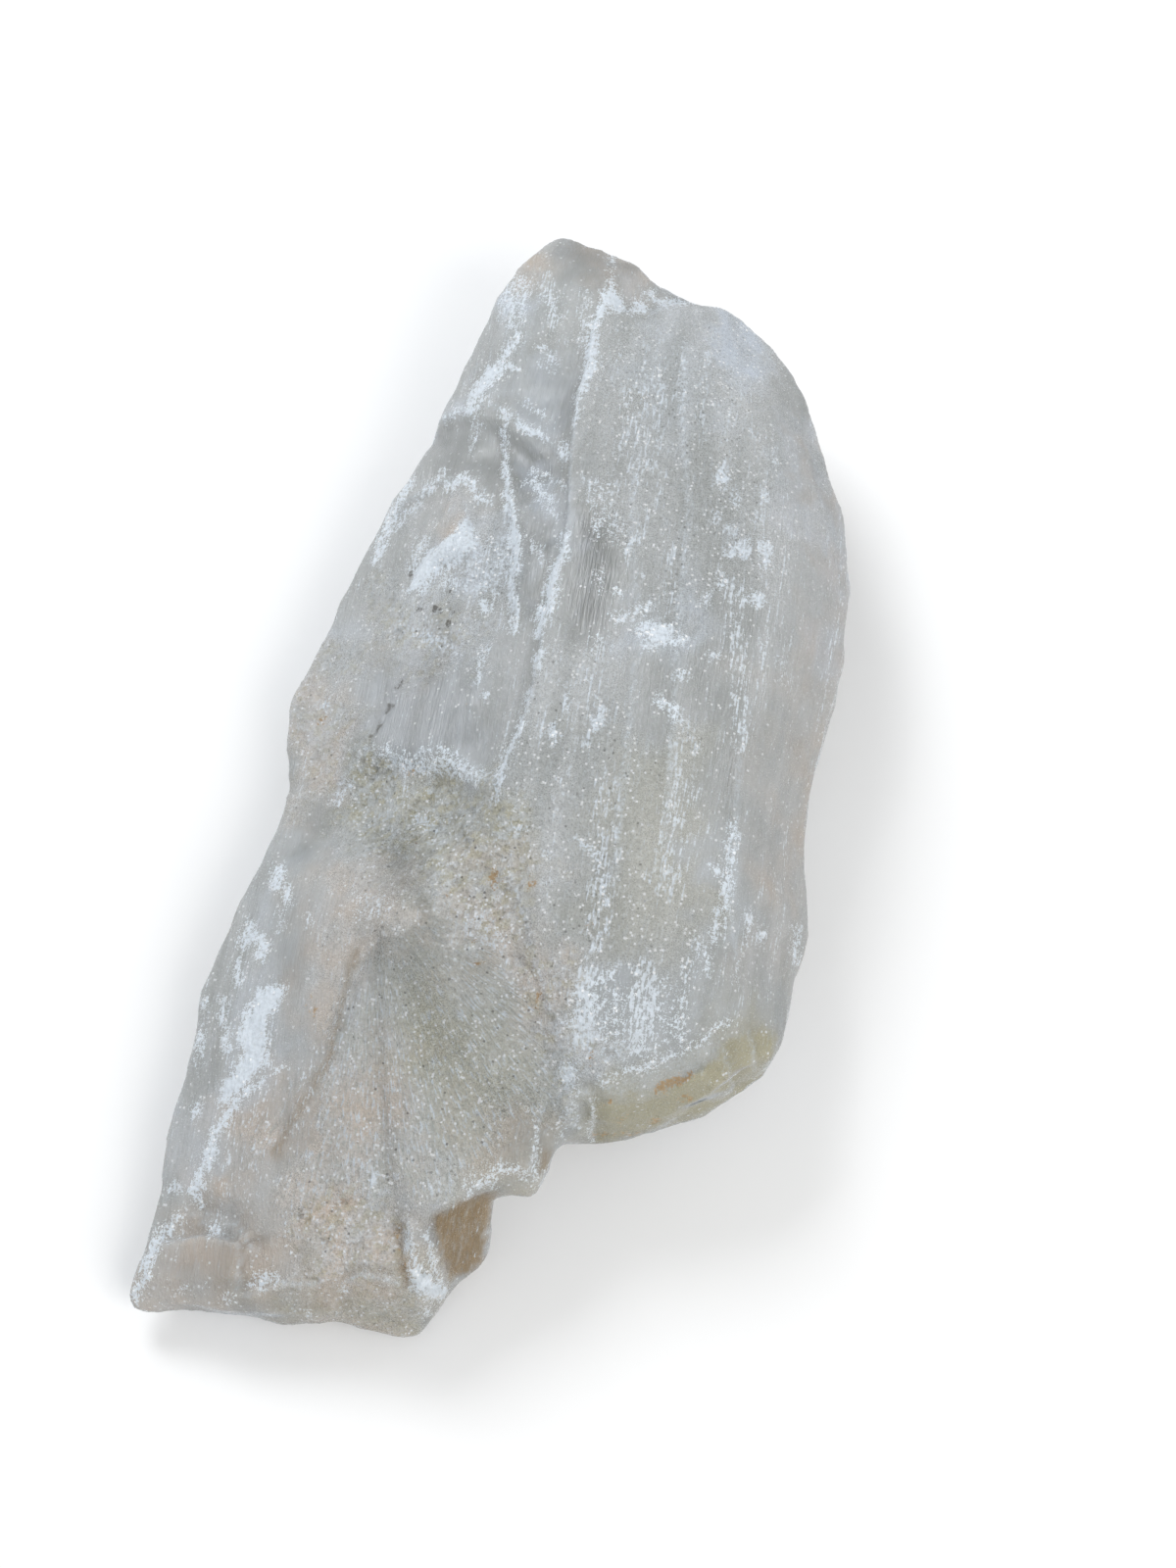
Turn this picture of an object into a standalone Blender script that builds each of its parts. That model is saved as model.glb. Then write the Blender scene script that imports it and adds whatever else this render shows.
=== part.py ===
"""Selenite crystal blade: one natural piece, lying on its flat back.

The upper side is a net of flat facets, hung on the rim and on the edges, ridges and creases that are
seen on the stone. The stone starts as a plate with the plan outline. Each point of the plate is moved
to its share of the way from the underside to the upper side. Ledges, a crease and broken ground are
then cut into the upper side, and the back is cut flat.

Frame: metres, +Z up, +Y along the blade, origin under the middle of the stone, on the surface
that it rests on. Sizes are in millimetres, times MM where a mesh is made. Places are read off a
picture of the stone, in pixels, with a height in millimetres.
"""

import bpy
import bmesh
import numpy as np
from mathutils import Vector, noise
from mathutils.bvhtree import BVHTree
from mathutils.geometry import delaunay_2d_cdt

NODE_NAME = "selenite_blade"
COLLECTION_NAME = "selenite_crystal_blade"
MM = 0.001

# Driving dimension: the others follow in proportion
LENGTH = 312.0

# The picture: its middle and focal length in pixels, the point of the stone that is at its middle,
# and where that point is seen from
PICTURE_MIDDLE = (600, 800)
PICTURE_FOCAL = 2222
AIM = (10.0, 0.0, 30.0)
SEEN_FROM = 565.0
SEEN_ABOVE = np.radians(65)
SEEN_TURNED = np.radians(16)

# How far facets are rounded into each other: little on the near part, more beyond it
NEAR_ROUNDING = 1.4
FAR_ROUNDING = 6.0
NEAR_PART = -95.0
ROUNDING_CHANGE = 30.0

# Mesh steps
PLATE_HEIGHT = 90.0
PLATE_STEP = 1.6
SURFACE_STEP = 1.6
THINNEST = 4.0
BASE_TRIM = 0.6
TRIANGLES = 8500

# The rim, clockwise from the far tip: pixel, height of the edge seen there, height of the rim over it
RIM = [
    (573, 237, 48, 48), (603, 244, 48, 48), (634, 257, 48, 48), (655, 262, 47, 47),
    (668, 280, 46, 46), (703, 297, 45, 45), (740, 304, 43, 43), (762, 320, 42, 42),
    (786, 350, 41, 41), (806, 374, 40, 40), (834, 445, 38, 38), (845, 480, 37, 37),
    (859, 520, 36, 36), (867, 565, 35, 35), (870, 612, 34, 34), (861, 675, 33, 33),
    (850, 720, 32, 32), (837, 780, 31, 31), (826, 835, 30, 30), (825, 900, 28, 29),
    (824, 955, 27, 29), (809, 998, 25, 30), (803, 1035, 23, 31), (795, 1068, 21, 33),
    (783, 1098, 18, 36), (756, 1118, 15, 40), (722, 1138, 14, 39), (671, 1157, 13, 38),
    (603, 1167, 14, 38), (590, 1172, 20, 31), (567, 1173, 28, 33), (562, 1197, 27, 32),
    (550, 1223, 27, 31), (532, 1221, 27, 31), (505, 1216, 29, 34), (499, 1240, 18, 22),
    (495, 1275, 10, 14), (485, 1296, 8, 12), (470, 1303, 7, 11), (454, 1337, 4, 10),
    (431, 1369, 3, 7), (412, 1372, 3, 7), (365, 1357, 4, 12), (345, 1350, 4, 15),
    (320, 1351, 4, 16), (262, 1346, 5, 17), (200, 1342, 5, 16), (145, 1341, 5, 12),
    (133, 1339, 6, 12), (130, 1320, 8, 12), (145, 1277, 11, 14), (163, 1215, 13, 16),
    (165, 1157, 14, 16), (186, 1097, 15, 17), (199, 1050, 16, 18), (202, 1017, 16, 18),
    (221, 977, 17, 19), (244, 917, 18, 20), (269, 877, 18, 20), (289, 817, 18, 20),
    (292, 760, 18, 20), (300, 717, 18, 20), (323, 677, 19, 21), (345, 610, 20, 22),
    (376, 557, 22, 24), (421, 477, 26, 28), (463, 397, 31, 33), (484, 350, 35, 36),
    (505, 297, 40, 41), (534, 257, 45, 45),
]

# Edges, ridges and slopes of the upper side: pixel and height
UPPER_SIDE = {
    "ridge": [
        (617, 288, 57), (603, 350, 60), (590, 400, 62), (583, 450, 64), (580, 500, 65),
        (573, 560, 66), (557, 640, 66.5), (546, 700, 66), (527, 760, 65), (510, 810, 63),
    ],
    "broad_face": [
        (700, 380, 60), (700, 500, 64.5), (690, 650, 67), (660, 800, 65.5), (640, 950, 60),
        (650, 1050, 54),
    ],
    "broad_face_end": [(610, 1108, 50), (672, 1083, 50.5), (722, 1060, 51), (748, 1050, 50), (775, 1058, 43)],
    "right_margin": [
        (765, 345, 49), (800, 420, 53), (818, 500, 55), (822, 570, 56), (810, 650, 57.5),
        (795, 720, 57.5), (778, 800, 56), (765, 870, 55), (757, 940, 53), (752, 1000, 52),
    ],
    "crest": [(640, 312, 56), (660, 318, 55), (692, 305, 53), (735, 315, 49)],
    "shoulder_top": [(570, 255, 51), (545, 272, 51), (525, 310, 50), (515, 345, 50), (560, 330, 56)],
    "shoulder": [(500, 380, 45), (540, 400, 54), (555, 450, 59), (505, 430, 51), (465, 435, 41)],
    "flank_upper": [(520, 500, 56), (465, 520, 46), (415, 555, 35)],
    "flank_middle": [(520, 600, 57.5), (450, 620, 44), (385, 650, 32)],
    "flank_lower": [(495, 700, 56), (430, 715, 44), (355, 720, 29)],
    "break_edge": [(330, 805, 26), (370, 772, 35), (440, 768, 48), (480, 778, 54)],
    "broken_slope": [(350, 850, 29), (400, 825, 39), (450, 835, 49), (500, 860, 55), (530, 860, 60)],
    "slope_top": [(552, 930, 60), (572, 1010, 56.5), (588, 1060, 53.5)],
    "slope_foot": [(500, 920, 54), (520, 980, 51), (545, 1060, 47), (568, 1100, 44.5)],
    "feather_face": [(450, 960, 52), (480, 1060, 47), (520, 1130, 42.5), (440, 1100, 45.5), (440, 1190, 41)],
    "crease": [
        (385, 925, 50), (384, 1010, 48), (386, 1100, 44), (392, 1180, 40), (402, 1235, 37.5),
        (410, 1275, 35),
    ],
    "left_slope": [(325, 890, 34), (300, 970, 34), (285, 1060, 32.5), (265, 1160, 29.5), (245, 1235, 26)],
    "end_wall_top": [(430, 1290, 35), (441, 1244, 38), (470, 1226, 38.5)],
    "tip_edge": [(479, 1219, 38.5), (487, 1207, 39), (506, 1196, 39.5), (522, 1190, 39.5), (540, 1198, 38.5)],
    "tip_side": [(562, 1125, 43), (550, 1150, 42), (547, 1180, 40)],
    "lump": [(584, 1112, 44), (594, 1130, 42)],
    "near_edge": [
        (147, 1294, 17), (200, 1301, 21), (245, 1308, 23), (300, 1312, 25), (345, 1302, 27),
        (380, 1296, 31), (412, 1303, 33), (440, 1312, 29),
    ],
}

# Ledges of the upper side, as pixels along each. The low side is on the right-hand side of whoever
# walks along it. The low side drops by the first size and comes back up within the second.
LEDGES = {
    "ridge_ledge": (3.4, 30.0, [
        (612, 300), (600, 352), (588, 400), (582, 450), (580, 500), (572, 560), (555, 640),
        (545, 700), (525, 760), (508, 812),
    ]),
    "window_ledge": (2.0, 22.0, [(511, 425), (516, 460), (520, 500), (526, 560), (521, 620), (514, 655)]),
    "scallop": (3.2, 26.0, [
        (414, 462), (430, 437), (452, 425), (480, 416), (505, 418), (530, 432), (560, 455), (580, 482),
    ]),
    "small_scallop": (1.6, 14.0, [(393, 535), (405, 512), (428, 498), (455, 493), (478, 500), (503, 516)]),
    "break": (3.6, 34.0, [
        (333, 815), (355, 790), (372, 772), (400, 766), (440, 770), (470, 776), (497, 798), (518, 818),
    ]),
    "crest_ledge": (1.2, 14.0, [(742, 308), (692, 306), (658, 320), (640, 312), (612, 286)]),
    "slab_side": (2.0, 14.0, [(245, 1322), (246, 1290), (243, 1262)]),
    "slab_back": (2.0, 12.0, [(246, 1266), (228, 1258), (205, 1255), (178, 1262)]),
    "lump_side": (1.8, 12.0, [(602, 1165), (603, 1135), (597, 1110), (585, 1085)]),
}
LEDGE_EDGE = 2.2

# The valley between the left slope and the middle of the near end
CREASE = [(385, 925), (384, 1010), (386, 1100), (392, 1180), (402, 1240), (410, 1290)]
CREASE_DEPTH = (1.0, 4.0)
CREASE_HALF_WIDTH = 6.0

# Broken ground: pixel of the middle, radius, size of a lump, height of the lumps
BROKEN_GROUND = {
    "below_the_break": ((430, 860), 27.0, 8.0, 3.0),
    "left_of_the_break": ((310, 790), 16.0, 7.0, 1.8),
    "foot_of_the_slope": ((560, 1080), 14.0, 8.0, 2.2),
    "near_end": ((350, 1290), 22.0, 9.0, 2.4),
    "upper_left_edge": ((450, 590), 15.0, 9.0, 1.6),
}

# Waves of the walls round the rim, and of the rest: size and height
WALL_WAVES = ((26.0, 2.4), (9.0, 1.2))
FACE_WAVES = ((40.0, 0.7), (12.0, 0.3))

# The underside rises from the corners of the resting face, in millimetres, to the lower edge of the
# rim. Where that edge isn't seen, it is this share of the rim's height below the rim.
RESTING_FACE = [
    (-30, 112), (10, 114), (36, 84), (50, 44), (56, -20), (52, -50), (30, -68), (6, -84),
    (0, -112), (-6, -134), (-50, -142), (-52, -100), (-46, -50), (-46, 20), (-44, 64), (-38, 92),
]
RIM_THICKNESS = 0.34
EDGE_IS_SEEN = 2.5

COLOUR = (0.62, 0.63, 0.6, 1)
ROUGHNESS = 0.4
SEE_THROUGH = 0.3
IOR = 1.52


def view():
    """The eye, and the directions right, up and forward of the picture."""
    away = Vector((-np.sin(SEEN_TURNED), np.cos(SEEN_TURNED), 0))
    right = Vector((np.cos(SEEN_TURNED), np.sin(SEEN_TURNED), 0))
    forward = away * np.cos(SEEN_ABOVE) - Vector((0, 0, np.sin(SEEN_ABOVE)))
    return Vector(AIM) - forward * SEEN_FROM, right, right.cross(forward), forward


def sight_line(px, py):
    """The eye, and the direction in which it sees a pixel."""
    eye, right, up, forward = view()
    sideways = right * (px - PICTURE_MIDDLE[0])
    upwards = up * (PICTURE_MIDDLE[1] - py)
    return eye, (forward * PICTURE_FOCAL + sideways + upwards).normalized()


def place(px, py, height):
    """The point of that height that is seen at a pixel."""
    eye, direction = sight_line(px, py)
    return eye + direction * ((height - eye.z) / direction.z)


def rim_points():
    """The plan outline, with the height of the rim."""
    seen = [place(px, py, height) for px, py, height, _ in RIM]
    return [Vector((point.x, point.y, row[3])) for point, row in zip(seen, RIM)]


def under_rim():
    """The plan outline, with the height of the lower edge of the rim."""
    points = rim_points()
    for point, (_, _, seen, rim) in zip(points, RIM):
        point.z = seen if rim - seen > EDGE_IS_SEEN else rim * (1 - RIM_THICKNESS)
    return points


def facet_net(rim, lines):
    """Flat facets between a rim and lines, with a skirt so that they cover points just outside."""
    skirt = [Vector((point.x * 1.05, point.y * 1.05, point.z)) for point in rim]
    points = rim + skirt
    edges = [(i, (i + 1) % len(rim)) for i in range(len(rim))]
    for line in lines:
        first = len(points)
        points += line
        edges += [(i, i + 1) for i in range(first, len(points) - 1)]
    flat = [Vector((point.x, point.y)) for point in points]
    corners, _, facets, sources, _, _ = delaunay_2d_cdt(flat, edges, [], 0, 0.001)
    net = [(*corner, points[source[0]].z) for corner, source in zip(corners, sources)]
    return BVHTree.FromPolygons(net, facets)


def upper_net():
    lines = [[place(*row) for row in line] for line in UPPER_SIDE.values()]
    return facet_net(rim_points(), lines)


def under_net():
    corners = [Vector((x, y, 0)) for x, y in RESTING_FACE]
    return facet_net(under_rim(), [[*corners, corners[0].copy()]])


def height_of(net, x, y):
    """Height of the net at each x, y."""
    down = Vector((0, 0, -1))
    hits = (net.ray_cast(Vector((a, b, 2 * PLATE_HEIGHT)), down)[0] for a, b in zip(x, y))
    return np.array([np.nan if hit is None else hit.z for hit in hits])


def rounded_height(net, x, y):
    """Height of the net with its edges rounded: the mean of a point and of two rings round it."""
    share = eased((y - NEAR_PART) / ROUNDING_CHANGE)
    radius = NEAR_ROUNDING + share * (FAR_ROUNDING - NEAR_ROUNDING)
    samples = [height_of(net, x, y)]
    for part in (0.5, 1):
        for turn in np.radians(np.arange(0, 360, 60)):
            samples.append(height_of(net, x + part * radius * np.cos(turn), y + part * radius * np.sin(turn)))
    return np.nanmean(samples, axis=0)


def on_stone(net, pixels):
    """The plan places of pixels, where their sight lines meet the net."""
    hits = [net.ray_cast(*sight_line(px, py))[0] for px, py in pixels]
    return np.array([(hit.x, hit.y) for hit in hits])


def beside(line, x, y):
    """Distance of each point to the right of a line, less than 0 to its left, and its share along it."""
    nearest = np.full(x.shape, np.inf)
    side = np.ones(x.shape)
    share = np.zeros(x.shape)
    lengths = np.hypot(*(line[1:] - line[:-1]).T)
    passed = 0.0
    for start, end, length in zip(line[:-1], line[1:], lengths):
        along = (end - start) / length
        reach = np.clip((x - start[0]) * along[0] + (y - start[1]) * along[1], 0, length)
        dx = x - start[0] - along[0] * reach
        dy = y - start[1] - along[1] * reach
        distance = np.hypot(dx, dy)
        closer = distance < nearest
        nearest = np.where(closer, distance, nearest)
        side = np.where(closer, np.where(dx * along[1] - dy * along[0] > 0, 1, -1), side)
        share = np.where(closer, (passed + reach) / lengths.sum(), share)
        passed += length
    return nearest * side, share


def eased(value):
    value = np.clip(value, 0, 1)
    return value * value * (3 - 2 * value)


def ledge_drop(line, drop, reach, x, y):
    distance, share = beside(line, x, y)
    ends = eased(np.minimum(share, 1 - share) / 0.12)
    step = eased(distance / LEDGE_EDGE) * (1 - eased(distance / reach))
    return drop * ends * np.where(distance > 0, step, 0)


def crease_drop(line, x, y):
    distance, share = beside(line, x, y)
    start, end = CREASE_DEPTH
    ends = eased(share / 0.15)
    return ends * (start + (end - start) * share) * np.clip(1 - abs(distance) / CREASE_HALF_WIDTH, 0, 1)


def lumps(middle, radius, size, height, x, y):
    """Small facets, each with a level and a tilt of its own."""
    rise = np.zeros(x.shape)
    weight = 1 - eased((np.hypot(x - middle[0], y - middle[1]) / radius - 0.5) / 0.5)
    for i in np.flatnonzero(weight > 0):
        spot = Vector((x[i], y[i], 0)) / size
        cell = noise.voronoi(spot)[1][0]
        tilt = noise.noise_vector(cell * 7.3)
        rise[i] = tilt.z + tilt.dot(spot - cell)
    return height * weight * np.clip(rise, -1, 1)


def relief(net, x, y):
    """Height of the ledges, the crease and the broken ground over the facets."""
    rise = -crease_drop(on_stone(net, CREASE), x, y)
    for drop, reach, pixels in LEDGES.values():
        rise -= ledge_drop(on_stone(net, pixels), drop, reach, x, y)
    for pixel, radius, size, height in BROKEN_GROUND.values():
        rise += lumps(on_stone(net, [pixel])[0], radius, size, height, x, y)
    return rise


def clear_scene():
    for obj in list(bpy.data.objects):
        bpy.data.objects.remove(obj, do_unlink=True)


def collection_for_part():
    collection = bpy.data.collections.new(COLLECTION_NAME)
    bpy.context.scene.collection.children.link(collection)
    return collection


def evaluated_mesh(obj):
    graph = bpy.context.evaluated_depsgraph_get()
    return bpy.data.meshes.new_from_object(obj.evaluated_get(graph))


def even_mesh(obj, step):
    """Gives the object an even surface mesh of that step."""
    modifier = obj.modifiers.new("even_mesh", "REMESH")
    modifier.mode = "VOXEL"
    modifier.voxel_size = step * MM
    mesh = evaluated_mesh(obj)
    obj.modifiers.clear()
    obj.data = mesh


def outline_curve(collection):
    """The plan outline as a plate of constant height."""
    curve = bpy.data.curves.new("outline", "CURVE")
    curve.dimensions = "2D"
    curve.fill_mode = "BOTH"
    curve.extrude = PLATE_HEIGHT / 2 * MM
    rim = rim_points()
    spline = curve.splines.new("POLY")
    spline.points.add(len(rim) - 1)
    for point, corner in zip(spline.points, rim):
        point.co = (corner.x * MM, corner.y * MM, 0, 1)
    spline.use_cyclic_u = True
    outline = bpy.data.objects.new("outline", curve)
    outline.location.z = PLATE_HEIGHT / 2 * MM
    collection.objects.link(outline)
    bpy.context.view_layer.update()
    return outline


def plate(collection):
    """The outline as one closed mesh, with an even surface."""
    outline = outline_curve(collection)
    mesh = evaluated_mesh(outline)
    mesh.transform(outline.matrix_world)
    bpy.data.objects.remove(outline)
    weld = bmesh.new()
    weld.from_mesh(mesh)
    bmesh.ops.remove_doubles(weld, verts=weld.verts, dist=0.01 * MM)
    bmesh.ops.recalc_face_normals(weld, faces=weld.faces)
    weld.to_mesh(mesh)
    weld.free()
    stone = bpy.data.objects.new(NODE_NAME, mesh)
    collection.objects.link(stone)
    even_mesh(stone, PLATE_STEP)
    return stone


def vectors_of(items, name):
    """A three-number property of all vertices or points, in one array."""
    values = np.empty(len(items) * 3, np.float32)
    items.foreach_get(name, values)
    return values.reshape(-1, 3).astype(float)


def set_points(mesh, points):
    mesh.vertices.foreach_set("co", (points * MM).astype(np.float32).ravel())
    mesh.update()


def fit_between_faces(stone):
    """Moves each point of the plate to its share of the way from the underside to the upper side."""
    points = vectors_of(stone.data.vertices, "co") / MM
    x, y, z = points.T
    net = upper_net()
    low = np.nan_to_num(height_of(under_net(), x, y))
    high = np.maximum(rounded_height(net, x, y) + relief(net, x, y), low + THINNEST)
    share = np.clip(z / PLATE_HEIGHT, 0, 1)
    set_points(stone.data, np.stack([x, y, low + share * (high - low)], axis=1))


def waves(points, sizes):
    """Sum of smooth noises, each with its size and height."""
    total = np.zeros(len(points))
    for size, height in sizes:
        total += height * np.array([noise.noise(Vector(point) / size) for point in points])
    return total


def roughen(stone):
    """Waves the walls strongly and the faces a little."""
    points = vectors_of(stone.data.vertices, "co") / MM
    normals = vectors_of(stone.data.vertex_normals, "vector")
    steepness = eased((0.75 - abs(normals[:, 2])) / 0.5)
    move = steepness * waves(points, WALL_WAVES) + (1 - steepness) * waves(points, FACE_WAVES)
    set_points(stone.data, points + normals * move[:, None])


def island_of(vertex):
    """All vertices that are joined to this one."""
    island = {vertex}
    waiting = [vertex]
    while waiting:
        current = waiting.pop()
        joined = {edge.other_vert(current) for edge in current.link_edges} - island
        island |= joined
        waiting += joined
    return island


def drop_crumbs(stone):
    """Removes crumbs that have come loose from the stone."""
    shape = bmesh.new()
    shape.from_mesh(stone.data)
    islands = []
    unseen = set(shape.verts)
    while unseen:
        islands.append(island_of(next(iter(unseen))))
        unseen -= islands[-1]
    islands.sort(key=len)
    crumbs = [vertex for island in islands[:-1] for vertex in island]
    bmesh.ops.delete(shape, geom=crumbs, context="VERTS")
    shape.to_mesh(stone.data)
    shape.free()


def thin_out(stone):
    """Collapses flat stretches until about the wanted number of triangles is left."""
    stone.data.calc_loop_triangles()
    modifier = stone.modifiers.new("thin_out", "DECIMATE")
    modifier.ratio = TRIANGLES / len(stone.data.loop_triangles)
    modifier.use_collapse_triangulate = True
    mesh = evaluated_mesh(stone)
    stone.modifiers.clear()
    stone.data = mesh


def cut_resting_face(stone):
    """Cuts the back off flat and closes it."""
    shape = bmesh.new()
    shape.from_mesh(stone.data)
    everything = [*shape.verts, *shape.edges, *shape.faces]
    bmesh.ops.bisect_plane(
        shape, geom=everything, plane_co=(0, 0, BASE_TRIM * MM), plane_no=(0, 0, 1), clear_inner=True
    )
    rim = [edge for edge in shape.edges if edge.is_boundary]
    bmesh.ops.holes_fill(shape, edges=rim, sides=0)
    bmesh.ops.triangulate(shape, faces=[face for face in shape.faces if len(face.verts) > 3])
    shape.to_mesh(stone.data)
    shape.free()


def size_and_centre(stone):
    """Scales the stone to its length and centres it over the origin."""
    points = vectors_of(stone.data.vertices, "co") / MM
    low, high = points.min(axis=0), points.max(axis=0)
    foot = np.array([(low[0] + high[0]) / 2, (low[1] + high[1]) / 2, low[2]])
    set_points(stone.data, (points - foot) * LENGTH / (high[1] - low[1]))


def selenite():
    """Clear to milky grey-white gypsum."""
    material = bpy.data.materials.new("selenite")
    material.use_nodes = True
    shader = material.node_tree.nodes["Principled BSDF"]
    shader.inputs["Base Color"].default_value = COLOUR
    shader.inputs["Roughness"].default_value = ROUGHNESS
    shader.inputs["Metallic"].default_value = 0
    shader.inputs["IOR"].default_value = IOR
    shader.inputs["Transmission Weight"].default_value = SEE_THROUGH
    return material


def main():
    clear_scene()
    stone = plate(collection_for_part())
    fit_between_faces(stone)
    roughen(stone)
    even_mesh(stone, SURFACE_STEP)
    drop_crumbs(stone)
    thin_out(stone)
    cut_resting_face(stone)
    size_and_centre(stone)
    stone.data.materials.clear()
    stone.data.materials.append(selenite())


main()
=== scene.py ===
"""Looks of the selenite crystal blade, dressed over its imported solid.

The blade lies on its flat back. Metres, +Z up, +Y along the blade. Marks of the stone are drawn in
pixels of a 1200 x 1600 picture of it, and land where the camera's sight lines meet the stone.
"""

import bmesh
import bpy
import numpy as np
from mathutils import Matrix, Vector
from mathutils import noise as smooth_noise
from mathutils.bvhtree import BVHTree


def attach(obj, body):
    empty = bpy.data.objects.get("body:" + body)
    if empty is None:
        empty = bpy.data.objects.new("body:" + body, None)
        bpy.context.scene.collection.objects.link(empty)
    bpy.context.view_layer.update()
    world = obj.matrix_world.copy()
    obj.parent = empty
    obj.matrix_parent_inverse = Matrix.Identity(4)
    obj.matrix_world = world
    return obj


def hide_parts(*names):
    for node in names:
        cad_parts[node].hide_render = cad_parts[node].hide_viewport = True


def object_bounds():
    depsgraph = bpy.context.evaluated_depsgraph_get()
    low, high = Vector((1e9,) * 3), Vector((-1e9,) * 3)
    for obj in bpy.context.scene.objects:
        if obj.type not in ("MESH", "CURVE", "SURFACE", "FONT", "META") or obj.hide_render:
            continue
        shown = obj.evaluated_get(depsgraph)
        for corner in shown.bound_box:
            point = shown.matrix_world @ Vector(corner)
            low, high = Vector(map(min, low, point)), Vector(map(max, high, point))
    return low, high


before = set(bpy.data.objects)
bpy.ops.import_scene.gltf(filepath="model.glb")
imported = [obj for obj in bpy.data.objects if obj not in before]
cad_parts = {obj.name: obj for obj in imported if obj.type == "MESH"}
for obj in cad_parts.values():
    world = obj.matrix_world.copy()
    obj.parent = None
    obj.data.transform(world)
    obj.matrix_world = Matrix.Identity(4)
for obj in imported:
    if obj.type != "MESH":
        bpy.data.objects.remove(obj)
cad_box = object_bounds()

# The stone's body.
# A bundle of selenite plates, grown together lengthwise into one blade and broken off at both ends.
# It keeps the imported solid's form, on an even mesh that is fine enough for ledges and fibres.

MM = 0.001
WELD_REACH = 0.01 * MM
MESH_STEP = 1.15 * MM
MESH_SOFTENING = 1


def joined_copy(node, name):
    """A copy of a node whose loose triangles are joined."""
    mesh = node.data.copy()
    weld = bmesh.new()
    weld.from_mesh(mesh)
    bmesh.ops.remove_doubles(weld, verts=weld.verts, dist=WELD_REACH)
    weld.to_mesh(mesh)
    weld.free()
    mesh.materials.clear()
    copy = bpy.data.objects.new(name, mesh)
    bpy.context.scene.collection.objects.link(copy)
    return copy


def settle(piece):
    """Turns what the piece's modifiers make into its plain mesh."""
    graph = bpy.context.evaluated_depsgraph_get()
    mesh = bpy.data.meshes.new_from_object(piece.evaluated_get(graph))
    piece.modifiers.clear()
    piece.data = mesh


stone = joined_copy(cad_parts["selenite_blade"], "selenite_stone")
fine = stone.modifiers.new("fine", "REMESH")
fine.mode = "VOXEL"
fine.voxel_size = MESH_STEP
fine.use_smooth_shade = True
soft = stone.modifiers.new("soft", "SMOOTH")
soft.iterations = MESH_SOFTENING
settle(stone)

# The stone as it is seen.
# The blade lies slightly turned and is looked at from well above its broken near end.
# Each point of the mesh gets the pixel where it is seen, and how openly it is seen.

PICTURE_MIDDLE = (600, 800)
PICTURE_FOCAL = 2222
AIM = Vector((0.010, 0.0005, 0.030))
SEEN_FROM = 0.565
SEEN_ABOVE = np.radians(65)
SEEN_TURNED = np.radians(16)
GRAZING = 0.04
OPENING = 0.2

away = Vector((-np.sin(SEEN_TURNED), np.cos(SEEN_TURNED), 0))
right = Vector((np.cos(SEEN_TURNED), np.sin(SEEN_TURNED), 0))
forward = away * np.cos(SEEN_ABOVE) - Vector((0, 0, np.sin(SEEN_ABOVE)))
up = right.cross(forward)
eye = AIM - forward * SEEN_FROM


def eased(value):
    """A value held to 0..1, with a soft start and end."""
    value = np.clip(value, 0, 1)
    return value * value * (3 - 2 * value)


def triples(items, name):
    """A three-number property of all points of a mesh."""
    values = np.empty(len(items) * 3, np.float32)
    items.foreach_get(name, values)
    return values.reshape(-1, 3).astype(float)


def openly_seen(mesh, points, normals):
    """1 where a point faces the eye with nothing before it, down to 0."""
    sight = np.array(eye) - points
    sight /= np.linalg.norm(sight, axis=1)[:, None]
    facing = (normals * sight).sum(axis=1)
    tree = BVHTree.FromPolygons([v.co for v in mesh.vertices], [p.vertices for p in mesh.polygons])
    starts = points + normals * MM
    clear = np.array([tree.ray_cast(Vector(a), Vector(b))[0] is None for a, b in zip(starts, sight)])
    return eased((facing - GRAZING) / OPENING) * clear


points = triples(stone.data.vertices, "co")
normals = triples(stone.data.vertex_normals, "vector")
sights = points - np.array(eye)
depths = sights @ np.array(forward)
px = PICTURE_MIDDLE[0] + PICTURE_FOCAL * (sights @ np.array(right)) / depths
py = PICTURE_MIDDLE[1] - PICTURE_FOCAL * (sights @ np.array(up)) / depths
seen = openly_seen(stone.data, points, normals)

# Drawing on the stone.
# A mark is a line with a width, an outlined patch or a round spot. Each gives how far inside it
# every point of the stone lies, in pixels, less than 0 outside it.

FAR_OFF = 1e3


def line_inside(rows, px=px, py=py):
    """Inside a line of (pixel x, pixel y, width)."""
    inside = np.full(px.shape, -FAR_OFF)
    for (ax, ay, aw), (bx, by, bw) in zip(rows[:-1], rows[1:]):
        dx, dy = bx - ax, by - ay
        share = np.clip(((px - ax) * dx + (py - ay) * dy) / (dx * dx + dy * dy), 0, 1)
        distance = np.hypot(px - ax - dx * share, py - ay - dy * share)
        inside = np.maximum(inside, (aw + (bw - aw) * share) / 2 - distance)
    return inside


def patch_inside(corners, px=px, py=py):
    """Inside a closed outline of (pixel x, pixel y)."""
    nearest = np.full(px.shape, FAR_OFF)
    within = np.zeros(px.shape, bool)
    for (ax, ay), (bx, by) in zip(corners, corners[1:] + corners[:1]):
        dx, dy = bx - ax, by - ay
        share = np.clip(((px - ax) * dx + (py - ay) * dy) / (dx * dx + dy * dy), 0, 1)
        nearest = np.minimum(nearest, np.hypot(px - ax - dx * share, py - ay - dy * share))
        if dy != 0:
            crossed = (ay > py) != (by > py)
            within ^= crossed & (px < ax + dx * (py - ay) / dy)
    return np.where(within, nearest, -nearest)


def spot_inside(x, y, wide, high, px=px, py=py):
    """Inside an ellipse about a pixel, of that half width and half height."""
    reach = np.hypot((px - x) / wide, (py - y) / high)
    return (1 - reach) * min(wide, high)


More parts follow.
